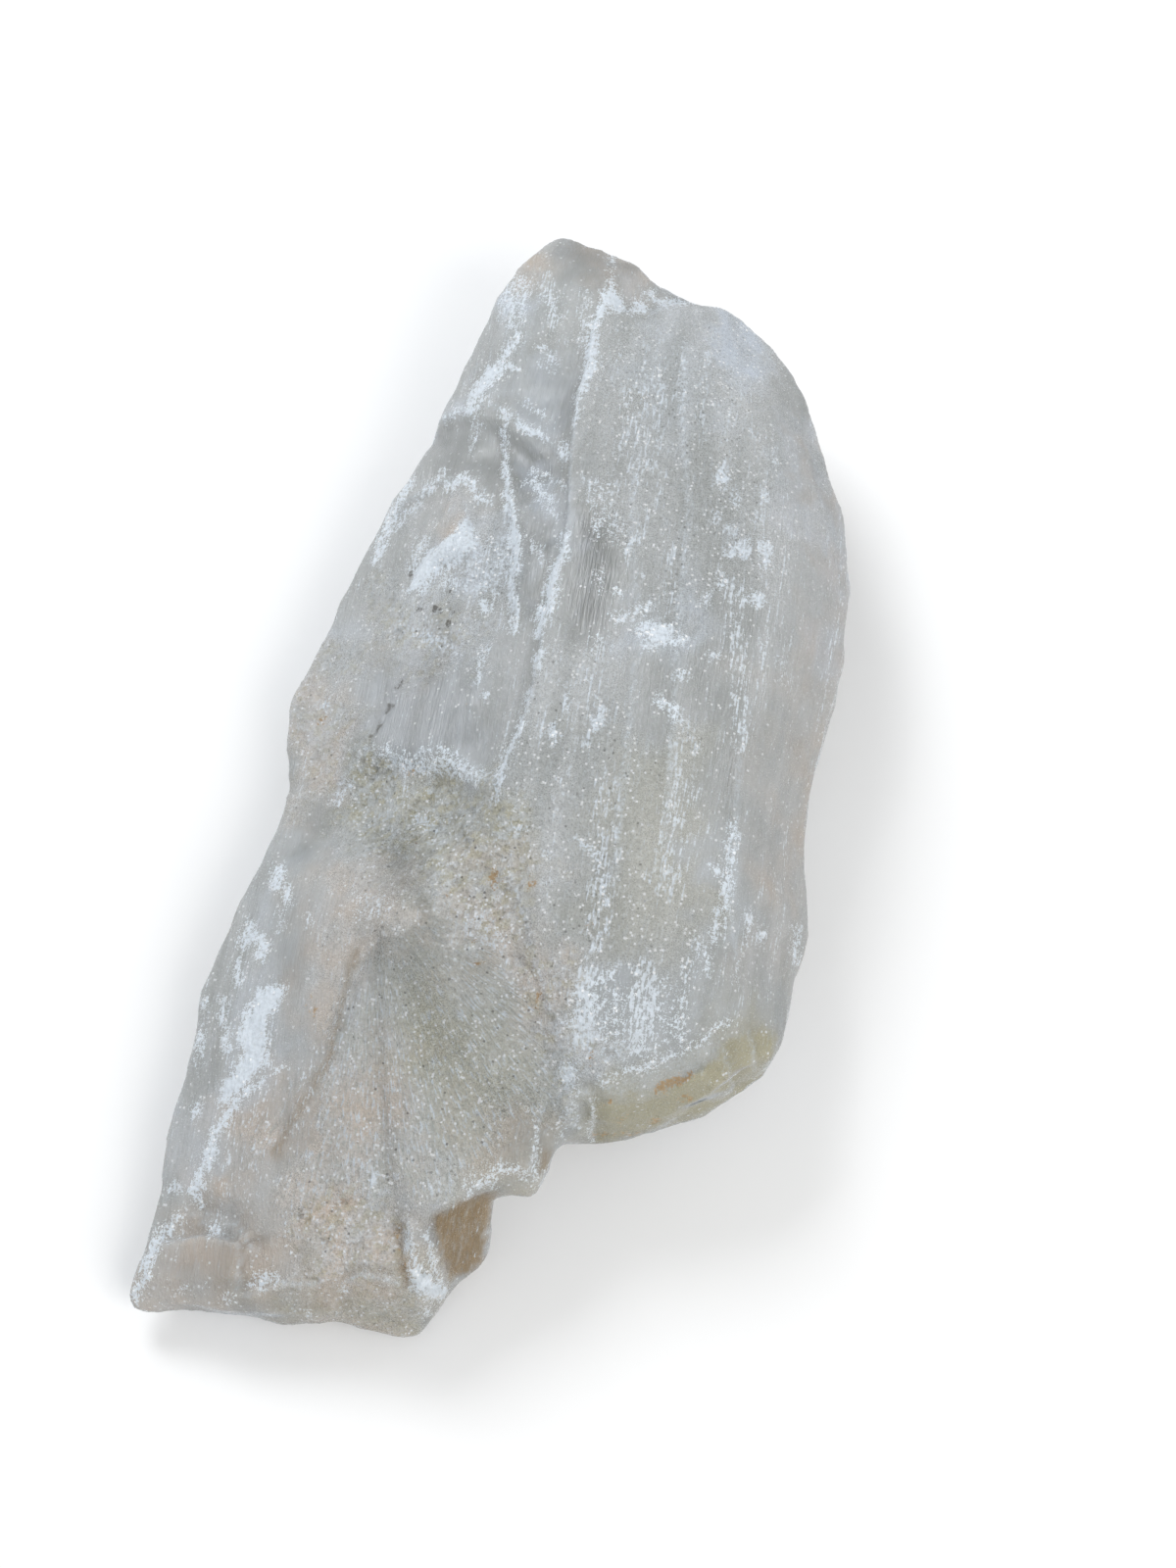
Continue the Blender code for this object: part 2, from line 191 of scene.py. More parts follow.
FIBRE_TURN = np.radians(-7)
OTHER_SEED = 50


def wander(size, seed, drawn_out=1):
    """Smooth noise at each point, for waves of that size in mm, drawn out along the fibres."""
    x, y, z = points.T / (size * MM)
    across = x * np.cos(FIBRE_TURN) - y * np.sin(FIBRE_TURN)
    along = (x * np.sin(FIBRE_TURN) + y * np.cos(FIBRE_TURN)) / drawn_out
    return np.array([smooth_noise.noise(Vector(row)) for row in zip(across + seed, along, z)])


def strayed(size, reach, seed):
    """The pixels of the stone's points, led astray by waves, so that marks get natural edges."""
    return px + reach * wander(size, seed), py + reach * wander(size, seed + OTHER_SEED)


def marks(softness, where, lines=(), patches=(), spots=()):
    """The strongest of the marks at each point, 0.5 at their edges. Each has a strength."""
    insides = [(strength, line_inside(rows, *where)) for strength, rows in lines]
    insides += [(strength, patch_inside(corners, *where)) for strength, corners in patches]
    insides += [(strength, spot_inside(*spot, *where)) for strength, *spot in spots]
    strongest = np.zeros(px.shape)
    for strength, inside in insides:
        strongest = np.maximum(strongest, strength * np.clip(0.5 + inside / softness / 2, 0, 1))
    return strongest * seen


# Crisp marks stray by small waves, loose ones by large waves and smaller ripples on them.
# Size of the waves in mm, reach in pixels, seed.
CRISP_WAVES = (3.2, 5, 1)
LOOSE_WAVES = (14, 50, 3)
LOOSE_RIPPLES = (5, 24, 5)

crisp = strayed(*CRISP_WAVES)
both = zip(strayed(*LOOSE_WAVES), strayed(*LOOSE_RIPPLES), (px, py))
loose = [waved + rippled - pixel for waved, rippled, pixel in both]


# Flat facets.
# Selenite splits into flat faces with crisp edges. Each facet is an outline, in pixels, inside which
# the stone is made flat: its points move along their sight lines onto the plane that fits them best.

FACETS = {
    "bevel": [(612, 1105), (656, 1091), (706, 1071), (724, 1062), (718, 1086), (683, 1111), (653, 1124),
              (610, 1123)],
    "end": [(610, 1126), (653, 1126), (683, 1113), (722, 1088), (728, 1118), (716, 1126), (671, 1144),
            (610, 1152)],
    "tip_top": [(496, 1130), (548, 1122), (546, 1180), (540, 1197), (522, 1189), (505, 1194), (486, 1204),
                (470, 1216), (462, 1190)],
    "tip_side": [(549, 1124), (562, 1122), (566, 1170), (562, 1194), (551, 1219), (543, 1200), (548, 1178)],
    "tip_front": [(482, 1219), (488, 1208), (506, 1197), (522, 1192), (540, 1200), (548, 1219), (532, 1219),
                  (505, 1214)],
    "wall": [(444, 1244), (471, 1229), (500, 1221), (497, 1254), (491, 1280), (483, 1295), (460, 1302)],
    "wall_side": [(412, 1242), (441, 1245), (457, 1302), (448, 1310), (424, 1302)],
    "slab": [(150, 1292), (164, 1268), (242, 1265), (243, 1308), (200, 1302)],
    "recess": [(192, 1238), (238, 1246), (262, 1280), (248, 1284), (244, 1264), (204, 1258), (184, 1262)],
    "slab_front": [(148, 1300), (200, 1306), (243, 1313), (243, 1335), (200, 1332), (148, 1328)],
    "near_front": [(250, 1316), (300, 1312), (344, 1305), (344, 1338), (320, 1340), (262, 1336)],
    "near_right_a": [(348, 1306), (382, 1298), (392, 1330), (372, 1356), (347, 1348)],
    "near_right_b": [(384, 1299), (412, 1305), (440, 1314), (430, 1345), (405, 1350), (393, 1330)],
    "near_right_c": [(405, 1352), (430, 1347), (451, 1337), (431, 1366), (412, 1369)],
    "pyramid_left": [(463, 509), (450, 533), (445, 557), (462, 544)],
    "pyramid_right": [(464, 510), (470, 518), (487, 545), (489, 562), (469, 576), (463, 545)],
    "lump_top": [(568, 1124), (592, 1112), (602, 1134), (600, 1160), (572, 1166)],
}
PANES = {
    "shoulder_a": [(526, 380), (552, 352), (574, 352), (584, 372), (580, 420), (560, 440), (530, 418)],
    "shoulder_b": [(536, 486), (566, 486), (578, 505), (576, 540), (552, 560), (540, 520)],
    "plate_corner": [(733, 302), (760, 322), (779, 350), (775, 388), (752, 384), (732, 368)],
}
FACET_EDGE = 3.0
PANE_EDGE = 12.0
FACET_START = 0.3
FEWEST_POINTS = 6
OPENLY = 0.2


def flattened(points, corners, edge):
    """The points, with those inside the outline moved onto one plane."""
    inside = patch_inside(corners)
    chosen = (inside > 0) & (seen > OPENLY)
    if chosen.sum() < FEWEST_POINTS:
        return points
    level = np.stack([np.ones(px.shape), px - PICTURE_MIDDLE[0], py - PICTURE_MIDDLE[1]], axis=1)
    depth = (points - np.array(eye)) @ np.array(forward)
    fit = np.linalg.lstsq(level[chosen], 1 / depth[chosen], rcond=None)[0]
    share = np.where(chosen, eased(inside / edge + FACET_START), 0)
    stretch = 1 + share * (1 / (level @ fit) / depth - 1)
    return np.array(eye) + (points - np.array(eye)) * stretch[:, None]


for corners in FACETS.values():
    points = flattened(points, corners, FACET_EDGE)
for corners in PANES.values():
    points = flattened(points, corners, PANE_EDGE)


def relaxed(mesh, points):
    """The points, each moved half way to the middle of its neighbours."""
    ends = np.empty(len(mesh.edges) * 2, np.int32)
    mesh.edges.foreach_get("vertices", ends)
    first, second = ends.reshape(-1, 2).T
    total = np.zeros(points.shape)
    np.add.at(total, first, points[second])
    np.add.at(total, second, points[first])
    count = np.bincount(first, minlength=len(points)) + np.bincount(second, minlength=len(points))
    return (points + total / count[:, None]) / 2


points = relaxed(stone.data, relaxed(stone.data, points))

# Cleavage ledges.
# Selenite splits along its plates, so the blade's face is stepped where plates end.
# Each line is a step down to its right-hand side: drop in mm, reach of the low side in pixels, pixels.

LEDGES = {
    "ridge": (0.9, 90, [
        (617, 286), (612, 310), (606, 330), (603, 352), (597, 376), (590, 398), (588, 420), (582, 450),
        (579, 480), (578, 520), (575, 545), (571, 566), (562, 582), (560, 600), (558, 618), (550, 640),
        (549, 665), (543, 690), (538, 712), (530, 742), (518, 766), (511, 790), (505, 816),
    ]),
    "scallop": (0.6, 60, [
        (414, 462), (424, 444), (440, 431), (456, 425), (470, 418), (488, 413), (507, 416), (524, 425),
        (536, 436), (552, 444), (566, 460), (578, 478),
    ]),
    "small_scallop": (0.7, 40, [
        (393, 545), (404, 524), (416, 512), (432, 505), (446, 493), (462, 489), (480, 491), (494, 506),
        (505, 517),
    ]),
    "main_vein": (0.6, 40, [
        (511, 425), (513, 460), (516, 486), (519, 522), (524, 545), (523, 570), (520, 594), (523, 620),
        (524, 645),
    ]),
    "break": (0.2, 60, [
        (336, 822), (346, 802), (362, 782), (374, 764), (390, 766), (404, 772), (419, 780), (430, 768),
        (446, 765), (462, 768), (476, 780), (490, 787), (504, 800), (516, 818),
    ]),
    "crest": (0.8, 30, [
        (744, 308), (729, 303), (714, 302), (702, 305), (692, 308), (677, 311), (664, 318), (652, 314),
        (640, 316), (622, 312),
    ]),
    "terrace_high": (0.35, 60, [(700, 330), (694, 420), (702, 520), (690, 640), (684, 760), (676, 880)]),
    "terrace_middle": (0.3, 60, [(648, 440), (642, 540), (650, 640), (640, 740), (630, 840), (622, 930)]),
    "terrace_right": (0.3, 50, [(762, 700), (752, 790), (748, 860), (744, 930), (752, 1000)]),
    "slab_side": (1.6, 40, [(242, 1322), (245, 1300), (246, 1280), (243, 1264)]),
    "slab_back": (1.3, 26, [(246, 1268), (228, 1260), (205, 1257), (180, 1262), (160, 1268)]),
    "recess": (0.8, 30, [(262, 1280), (250, 1262), (240, 1248), (222, 1240), (200, 1236), (186, 1240)]),
    "recess_step": (0.6, 22, [(226, 1262), (224, 1250), (212, 1244), (200, 1246)]),
    "slope_edge": (0.5, 30, [
        (512, 880), (522, 905), (534, 930), (540, 960), (548, 990), (556, 1020), (566, 1048), (576, 1080),
    ]),
    "facet_a": (0.8, 30, [(750, 1115), (746, 1092), (739, 1064)]),
    "facet_b": (0.6, 20, [(772, 1096), (771, 1068), (764, 1050)]),
    "end_wall": (1.0, 20, [(438, 1246), (456, 1236), (471, 1228), (488, 1221), (502, 1216)]),
    "lump": (0.8, 20, [(604, 1168), (608, 1140), (604, 1118), (592, 1104)]),
    "tip_facet": (0.5, 26, [(540, 1200), (548, 1168), (552, 1140), (566, 1118)]),
    "near_top": (0.8, 20, [(455, 1316), (440, 1318), (412, 1310), (392, 1302), (368, 1300), (345, 1308)]),
    "near_top_left": (0.8, 20, [(330, 1308), (300, 1310), (284, 1308), (262, 1318), (244, 1322)]),
}
LEDGE_EDGE = 3.0
LEDGE_ENDS = 0.1
# Painted highlight on a ledge's edge and painted shade at its foot: highlight offset and width in pixels,
# shade reach in pixels, and darkness.
BRIGHT_EDGE_BACK = 1.5
BRIGHT_EDGE_REACH = 4
DARK_FOOT_REACH = 26
DARK_FOOT_SHARE = 0.5


def beside(pixels):
    """Distance to the right of a line, less than 0 to its left, and the share along it."""
    nearest = np.full(px.shape, 10 * FAR_OFF)
    side = np.ones(px.shape)
    along = np.zeros(px.shape)
    spans = [np.hypot(b[0] - a[0], b[1] - a[1]) for a, b in zip(pixels[:-1], pixels[1:])]
    passed = 0.0
    for (ax, ay), (bx, by), span in zip(pixels[:-1], pixels[1:], spans):
        dx, dy = (bx - ax) / span, (by - ay) / span
        reach = np.clip((px - ax) * dx + (py - ay) * dy, 0, span)
        ox, oy = px - ax - dx * reach, py - ay - dy * reach
        distance = np.hypot(ox, oy)
        closer = distance < nearest
        nearest = np.where(closer, distance, nearest)
        side = np.where(closer, np.where(ox * dy - oy * dx < 0, 1, -1), side)
        along = np.where(closer, (passed + reach) / sum(spans), along)
        passed += span
    return nearest * side, along


def ledge(drop, reach, pixels):
    """How much a ledge lowers each point, and the painted highlight on its edge and painted shade at its
    foot.
    """
    distance, along = beside(pixels)
    ends = eased(np.minimum(along, 1 - along) / LEDGE_ENDS)
    step = eased(0.5 + distance / LEDGE_EDGE / 2) * (1 - eased(distance / reach))
    edge = np.clip(1 - abs(distance + BRIGHT_EDGE_BACK) / BRIGHT_EDGE_REACH, 0, 1)
    foot = np.where(distance > 0, np.clip(1 - distance / DARK_FOOT_REACH, 0, 1), 0)
    foot = foot * min(drop, 1) * DARK_FOOT_SHARE
    return drop * MM * ends * step, ends * edge * seen, ends * foot * seen


# The pyramid is a wedge of plates that stands up at the upper left edge.
PYRAMID = [(469, 518), (488, 548), (486, 566), (452, 582), (431, 604), (412, 606), (431, 567), (447, 552)]
PYRAMID_HEIGHT = 1.6
PYRAMID_EDGE = 12

# Pits in the broken ground, and other fine cracks: depth in mm, and pixels with a width.
PITS = [
    [(459, 880, 3), (467, 900, 3)], [(500, 877, 3), (510, 894, 3)], [(469, 847, 3), (482, 863, 3)],
    [(408, 896, 3), (420, 910, 3)],
]
PIT_DEPTH = 0.5
CRACKS = [(PIT_DEPTH, rows) for rows in PITS] + [
    (0.5, [(740, 589, 3), (729, 607, 4), (719, 626, 4), (701, 660, 2)]),
    (0.7, [(405, 1249, 3), (409, 1278, 4), (415, 1311, 4)]),
    (0.4, [(531, 993, 3), (538, 1020, 4), (545, 1052, 3)]),
    (0.4, [(382, 749, 3), (390, 735, 3), (400, 712, 2)]),
    (0.6, [(385, 930, 4), (385, 1010, 6), (388, 1100, 7), (394, 1180, 6), (404, 1245, 5)]),
]
CRACK_EDGE = 8

lowered, edges, painted_shade = np.zeros((3, *px.shape))
for rows in LEDGES.values():
    drop, edge, foot = ledge(*rows)
    lowered += drop
    edges = np.maximum(edges, edge)
    painted_shade = np.maximum(painted_shade, foot)
for depth, rows in CRACKS:
    lowered = lowered + depth * MM * eased(0.5 + line_inside(rows) / CRACK_EDGE)
raised = PYRAMID_HEIGHT * MM * eased(patch_inside(PYRAMID) / PYRAMID_EDGE)
points += normals * ((raised - lowered) * seen)[:, None]
stone.data.vertices.foreach_set("co", points.astype(np.float32).ravel())
stone.data.update()

# Frost.
# Where plates have parted or been bruised, air shows as white frost, in veins, patches and streaks.
# A few lines on the glassy shoulders are painted sky reflections, drawn like frost.
# Lines are (pixel x, pixel y, width). The first number is how solid the frost is, 1 at most.

FROST_VEINS_AND_REFLECTIONS = [
    (1.0, [(659, 293, 4), (677, 310, 6), (683, 306, 6), (693, 307, 7), (702, 304, 6), (714, 302, 6),
           (730, 304, 3)]),
    (1.0, [(615, 308, 6), (607, 327, 8), (602, 344, 15), (600, 360, 16), (600, 377, 12), (592, 398, 7),
           (590, 420, 5), (585, 434, 3)]),
    (1.0, [(575, 543, 6), (573, 563, 10), (565, 578, 13), (561, 596, 14), (563, 610, 12), (555, 624, 13),
           (549, 645, 12)]),
    (1.0, [(553, 663, 8), (547, 673, 8), (543, 686, 5)]),
    (1.0, [(541, 704, 5), (535, 724, 7), (529, 743, 9), (518, 765, 9), (512, 786, 9), (505, 818, 5)]),
    (1.0, [(523, 331, 5), (527, 344, 6), (518, 356, 7), (512, 369, 9), (525, 377, 8)]),
    (0.9, [(455, 429, 4), (467, 420, 5), (480, 416, 5), (490, 406, 5)]),
    (1.0, [(512, 420, 5), (525, 426, 6), (535, 437, 6), (548, 440, 6), (556, 448, 4)]),
    (0.9, [(484, 424, 3), (482, 447, 4), (480, 458, 3)]),
    (1.0, [(511, 438, 4), (513, 461, 4), (516, 486, 6), (517, 502, 9), (518, 522, 9), (522, 543, 18),
           (522, 563, 14), (520, 594, 9), (522, 612, 7), (524, 641, 6)]),
    (1.0, [(420, 488, 5), (410, 508, 6), (398, 531, 7), (388, 559, 6), (384, 573, 5)]),
    (0.9, [(404, 539, 4), (414, 522, 6), (426, 516, 5)]),
    (0.9, [(431, 508, 4), (443, 492, 6), (453, 482, 4)]),
    (1.0, [(457, 494, 5), (467, 489, 6), (480, 490, 6), (484, 504, 5), (494, 508, 4)]),
    (0.9, [(433, 552, 6), (425, 568, 8), (418, 584, 5)]),
    (0.9, [(492, 663, 5), (488, 680, 6), (486, 696, 3)]),
    (0.8, [(373, 761, 4), (398, 767, 6), (418, 780, 5), (433, 765, 5), (459, 767, 6), (484, 786, 6),
           (496, 792, 5)]),
    (0.9, [(586, 856, 5), (611, 873, 7), (611, 899, 8), (619, 924, 4)]),
    (1.0, [(619, 946, 5), (613, 956, 6)]),
    (0.9, [(750, 842, 5), (746, 862, 7), (742, 895, 8), (740, 920, 8), (731, 944, 8), (729, 962, 5)]),
    (0.9, [(723, 971, 5), (722, 993, 6)]),
    (0.9, [(723, 881, 3), (731, 891, 4)]),
    (0.9, [(672, 712, 8), (678, 714, 8), (691, 726, 7), (697, 740, 5)]),
    (0.9, [(359, 798, 6), (350, 808, 8), (341, 818, 6)]),
    (1.0, [(255, 943, 8), (247, 964, 9), (261, 955, 10), (270, 962, 8), (265, 976, 9)]),
    (1.0, [(245, 982, 6), (241, 1000, 7)]),
    (1.0, [(270, 1102, 5), (251, 1115, 6), (239, 1125, 7), (231, 1141, 8), (216, 1162, 8), (206, 1194, 6)]),
    (0.9, [(280, 1092, 5), (288, 1088, 5)]),
    (0.9, [(229, 1021, 6), (227, 1035, 8), (231, 1047, 8), (233, 1072, 6)]),
    (1.0, [(217, 1175, 8), (207, 1201, 10), (199, 1216, 11), (204, 1226, 8)]),
    (0.9, [(184, 1239, 8), (171, 1252, 10), (158, 1267, 11), (151, 1288, 11), (145, 1308, 12),
           (135, 1323, 9)]),
    (0.8, [(286, 949, 3), (286, 930, 3)]),
    (0.8, [(316, 947, 4), (316, 936, 4)]),
    (0.9, [(612, 1103, 4), (635, 1095, 6), (657, 1091, 5), (676, 1081, 5), (692, 1075, 4), (745, 1042, 3)]),
    (0.9, [(655, 1042, 4), (657, 1066, 5)]),
    (0.9, [(696, 1001, 4), (694, 1062, 5)]),
    (0.8, [(762, 950, 3), (756, 975, 3), (750, 1001, 3)]),
    (0.9, [(576, 1042, 5), (592, 1038, 6), (604, 1022, 8), (602, 1007, 8), (621, 995, 9), (628, 984, 5)]),
    (0.9, [(547, 1147, 4), (548, 1172, 5), (546, 1201, 5)]),
    (0.8, [(608, 1126, 4), (606, 1146, 4), (602, 1166, 4)]),
    (0.9, [(478, 1222, 5), (487, 1208, 7), (505, 1197, 8), (522, 1191, 8), (534, 1198, 5)]),
    (0.9, [(414, 1240, 4), (418, 1270, 7), (424, 1300, 9), (440, 1316, 10), (452, 1322, 8)]),
    (0.9, [(434, 1262, 4), (442, 1288, 6), (447, 1312, 6)]),
    (0.8, [(798, 675, 3), (798, 695, 3)]),
    (0.8, [(606, 649, 3), (606, 675, 4)]),
    (0.8, [(612, 580, 3), (612, 604, 3)]),
    (0.8, [(813, 944, 6), (813, 981, 6)]),
    (0.8, [(507, 323, 5), (512, 306, 5), (515, 293, 4)]),
    (0.8, [(592, 330, 3), (598, 296, 3)]),
    (0.8, [(590, 1150, 3), (584, 1132, 4), (588, 1120, 3)]),
    (0.8, [(574, 1160, 3), (572, 1144, 4), (578, 1136, 3)]),
    # The next six lines are painted sky reflections on the glassy shoulders, bluish white streaks drawn as
    # frost.
    (0.9, [(549, 353, 4), (559, 360, 8), (571, 368, 5)]),
    (0.8, [(553, 371, 3), (566, 378, 4)]),
    (0.95, [(537, 489, 4), (550, 498, 7), (563, 509, 5)]),
    (0.85, [(540, 480, 3), (556, 486, 5), (572, 493, 4)]),
    (0.85, [(546, 506, 3), (558, 516, 4), (568, 522, 3)]),
    (0.85, [(541, 551, 5), (548, 562, 6), (552, 572, 4)]),
    (0.75, [(534, 410, 4), (548, 420, 5), (560, 430, 3)]),
    (0.7, [(352, 600, 3), (372, 560, 4), (392, 520, 3), (410, 488, 3)]),
]
FROST_PATCHES = [
    (1.0, [(622, 284), (615, 304), (617, 314), (634, 318), (640, 314), (636, 306), (626, 291)]),
    (1.0, [(497, 373), (514, 374), (514, 384), (496, 394), (488, 406), (474, 417), (478, 402), (487, 388)]),
    (1.0, [(469, 518), (486, 543), (488, 561), (469, 575), (452, 580), (431, 604), (414, 604), (431, 567),
           (447, 557), (463, 543)]),
    (0.46, [(462, 546), (520, 542), (522, 585), (508, 612), (452, 610), (440, 596)]),
    (1.0, [(263, 1009), (290, 1004), (286, 1023), (274, 1039), (272, 1064), (274, 1084), (259, 1096),
           (247, 1111), (231, 1127), (221, 1125), (229, 1102), (243, 1092), (247, 1076), (243, 1051),
           (253, 1027)]),
    (0.4, [(574, 1001), (641, 1001), (652, 1050), (636, 1090), (600, 1086), (576, 1060)]),
    (0.34, [(650, 995), (700, 990), (706, 1064), (660, 1080), (640, 1050)]),
    (0.9, [(413, 1286), (440, 1300), (457, 1312), (455, 1328), (436, 1326), (416, 1310)]),
    (0.42, [(544, 276), (576, 300), (580, 334), (556, 336), (546, 306)]),
    (0.55, [(400, 628), (430, 636), (462, 648), (480, 668), (462, 672), (430, 660), (404, 646)]),
    (0.6, [(251, 1296), (283, 1292), (286, 1312), (262, 1322), (250, 1318)]),
    (0.55, [(416, 828), (440, 826), (452, 842), (446, 856), (424, 850)]),
    (0.4, [(590, 480), (640, 486), (644, 560), (600, 556)]),
    (0.58, [(562, 740), (572, 734), (580, 750), (574, 768), (560, 764)]),
    (0.5, [(508, 290), (530, 272), (546, 286), (540, 330), (516, 344), (506, 322)]),
    (0.55, [(376, 764), (400, 764), (430, 766), (462, 766), (500, 790), (494, 806), (462, 796), (420, 796),
            (392, 790)]),
    (0.42, [(352, 905), (402, 905), (402, 945), (356, 945)]),
    (0.42, [(463, 928), (500, 925), (530, 960), (500, 980), (466, 958)]),
    (0.34, [(430, 1196), (500, 1184), (516, 1196), (470, 1220), (432, 1236)]),
]
FROST_SPOTS = [
    (1.0, 653, 312, 8, 7), (0.9, 625, 270, 3, 6), (1.0, 573, 460, 4, 8), (1.0, 493, 617, 4, 4),
    (1.0, 495, 709, 3, 3), (1.0, 332, 720, 4, 4), (0.95, 737, 487, 8, 10), (0.9, 731, 528, 5, 6),
    (0.95, 744, 540, 6, 6), (0.9, 750, 511, 4, 8), (1.0, 760, 561, 7, 8), (1.0, 747, 563, 6, 6),
    (1.0, 781, 566, 6, 14), (0.9, 737, 591, 5, 8), (0.9, 723, 610, 5, 5), (0.95, 774, 611, 6, 7),
    (0.9, 764, 613, 4, 4), (0.9, 778, 505, 5, 9), (0.85, 773, 528, 5, 9), (0.85, 791, 471, 3, 6),
    (1.0, 634, 629, 8, 5), (1.0, 660, 640, 10, 7), (1.0, 676, 645, 12, 10), (0.95, 658, 618, 7, 5),
    (0.95, 693, 652, 8, 6), (0.9, 664, 656, 8, 5), (0.9, 695, 689, 7, 4), (0.85, 729, 669, 7, 5),
    (1.0, 609, 738, 8, 10), (0.9, 615, 724, 4, 5), (0.9, 578, 716, 3, 11), (0.9, 564, 746, 8, 10),
    (0.9, 604, 690, 4, 6), (0.9, 711, 966, 3, 8), (0.85, 764, 938, 5, 7), (0.85, 776, 955, 5, 8),
    (1.0, 284, 890, 6, 6), (1.0, 282, 901, 5, 6), (1.0, 293, 912, 6, 8), (0.9, 200, 1133, 4, 6),
    (0.9, 204, 1066, 4, 12), (0.9, 208, 1024, 4, 5), (0.85, 179, 1214, 4, 6), (1.0, 217, 1252, 6, 5),
    (1.0, 380, 1201, 5, 11), (1.0, 449, 1318, 8, 7), (1.0, 580, 1099, 7, 12), (0.85, 500, 1206, 7, 6),
    (0.85, 352, 1316, 4, 4), (0.85, 436, 1340, 4, 4), (0.85, 315, 1345, 4, 4), (0.8, 138, 1320, 5, 4),
    (0.8, 184, 1318, 7, 3), (0.8, 232, 1324, 6, 4), (0.85, 558, 872, 5, 4), (0.8, 530, 846, 5, 4),
    (0.9, 629, 600, 4, 4), (0.85, 640, 560, 4, 5), (0.85, 566, 690, 4, 6), (0.85, 655, 590, 4, 4),
]
frost_and_reflections = marks(10, crisp, FROST_VEINS_AND_REFLECTIONS, FROST_PATCHES, FROST_SPOTS)

# Fine streaks that run with the fibres.
STREAKS = [
    (0.95, [(674, 372, 16), (676, 436, 14)]), (0.95, [(697, 360, 16), (695, 424, 14)]),
    (0.9, [(720, 362, 14), (716, 446, 14)]), (0.95, [(647, 390, 14), (647, 450, 12)]),
    (0.9, [(660, 345, 12), (656, 404, 12)]), (0.95, [(745, 376, 10), (742, 446, 10)]),
    (0.9, [(630, 340, 10), (626, 400, 10)]), (0.9, [(765, 400, 8), (768, 460, 8)]),
    (0.8, [(640, 470, 14), (612, 560, 20)]), (0.8, [(680, 480, 16), (640, 573, 24)]),
    (0.85, [(803, 507, 7), (799, 542, 6)]), (0.85, [(781, 483, 8), (781, 525, 8)]),
    (0.8, [(784, 575, 8), (784, 600, 7)]), (0.85, [(595, 290, 12), (592, 335, 10)]),
    (0.8, [(560, 280, 20), (562, 330, 20)]), (0.85, [(736, 930, 14), (728, 975, 12)]),
    (0.9, [(600, 990, 30), (596, 1060, 40)]), (0.85, [(660, 990, 40), (654, 1066, 40)]),
    (0.8, [(700, 980, 20), (698, 1050, 20)]), (0.7, [(612, 640, 30), (600, 760, 30)]),
    (0.7, [(690, 560, 30), (676, 640, 30)]), (0.7, [(700, 760, 40), (680, 900, 50)]),
    (0.7, [(620, 800, 40), (610, 960, 40)]), (0.75, [(750, 600, 30), (756, 760, 30)]),
    (0.7, [(660, 400, 60), (650, 470, 60)]), (0.75, [(800, 560, 14), (806, 700, 14)]),
    (0.85, [(420, 1250, 10), (432, 1310, 16)]), (0.7, [(520, 1000, 20), (560, 1060, 16)]),
    (1.0, [(742, 925, 5), (737, 1005, 5)]), (0.95, [(758, 955, 4), (752, 1044, 4)]),
    (0.9, [(774, 975, 4), (768, 1046, 4)]), (0.85, [(792, 900, 4), (787, 1010, 4)]),
]
streaks = marks(10, crisp, STREAKS)

# Soft milky haze under the surface, and painted bluish sky reflections on the glassy shoulders. Only
# the glassy corner at the far right has a sharp edge.
GLASSY_CORNER = [(733, 303), (760, 322), (779, 350), (775, 388), (752, 386), (732, 370)]
SCALLOP_START = LEDGES["scallop"][2][:6]
LARGE_WINDOW = [(390, 668), (500, 658), (492, 776), (440, 762), (418, 774), (340, 794), (346, 744),
                (376, 706)]
haze_and_reflections = marks(20, loose, lines=[
    (0.9, [(x, y, 8) for x, y in SCALLOP_START]),
    (0.9, [(819, 450, 12), (823, 491, 12), (824, 516, 12), (828, 556, 10)]),
    (0.7, [(758, 330, 20), (770, 380, 16)]),
    (0.6, [(346, 640, 12), (326, 700, 12), (306, 760, 10)]),
    (0.7, [(740, 860, 16), (728, 970, 16)]),
    (0.7, [(852, 450, 20), (860, 560, 22), (856, 700, 18)]),
    (0.8, [(176, 1155, 14), (168, 1180, 14)]),
    (0.6, [(286, 870, 20), (262, 930, 26)]),
    (0.5, [(260, 1000, 26), (250, 1100, 24), (210, 1190, 20)]),
], patches=[
    (0.75, [(733, 299), (760, 320), (779, 348), (775, 390), (760, 386), (735, 368)]),
    (0.7, [(506, 300), (530, 270), (548, 272), (548, 331), (520, 338), (504, 330)]),
    (0.3, [(640, 320), (728, 320), (728, 460), (640, 450)]),
    (0.6, [(682, 573), (723, 580), (716, 650), (682, 654)]),
    (0.6, [(620, 620), (690, 612), (716, 660), (660, 672)]),
    (0.3, [(590, 990), (700, 984), (742, 1030), (690, 1072), (600, 1092), (574, 1050)]),
    # Painted sky reflections on the glassy shoulders: this patch, the next, and the small one at (541,
    # 551).
    (0.6, [(550, 354), (571, 356), (572, 376), (552, 374)]),
    (0.9, [(534, 480), (566, 484), (578, 512), (560, 530), (536, 516)]),
    (0.5, [(530, 372), (584, 376), (584, 440), (560, 446), (530, 420)]),
    (0.4, LARGE_WINDOW),
    (0.7, [(541, 551), (553, 553), (552, 570), (541, 567)]),
    (0.55, [(446, 540), (520, 530), (526, 600), (450, 612), (430, 600)]),
    (0.6, [(416, 826), (450, 826), (456, 856), (420, 858)]),
], spots=[(1.0, 524, 302, 24, 32), (0.6, 655, 285, 14, 10), (0.6, 592, 1140, 16, 24)])
haze_and_reflections = np.maximum(haze_and_reflections, marks(5, crisp, patches=[(1.0, GLASSY_CORNER)]))

# Clear windows.
# Where the plates are whole the stone is glassy, and looks darker because light goes in.

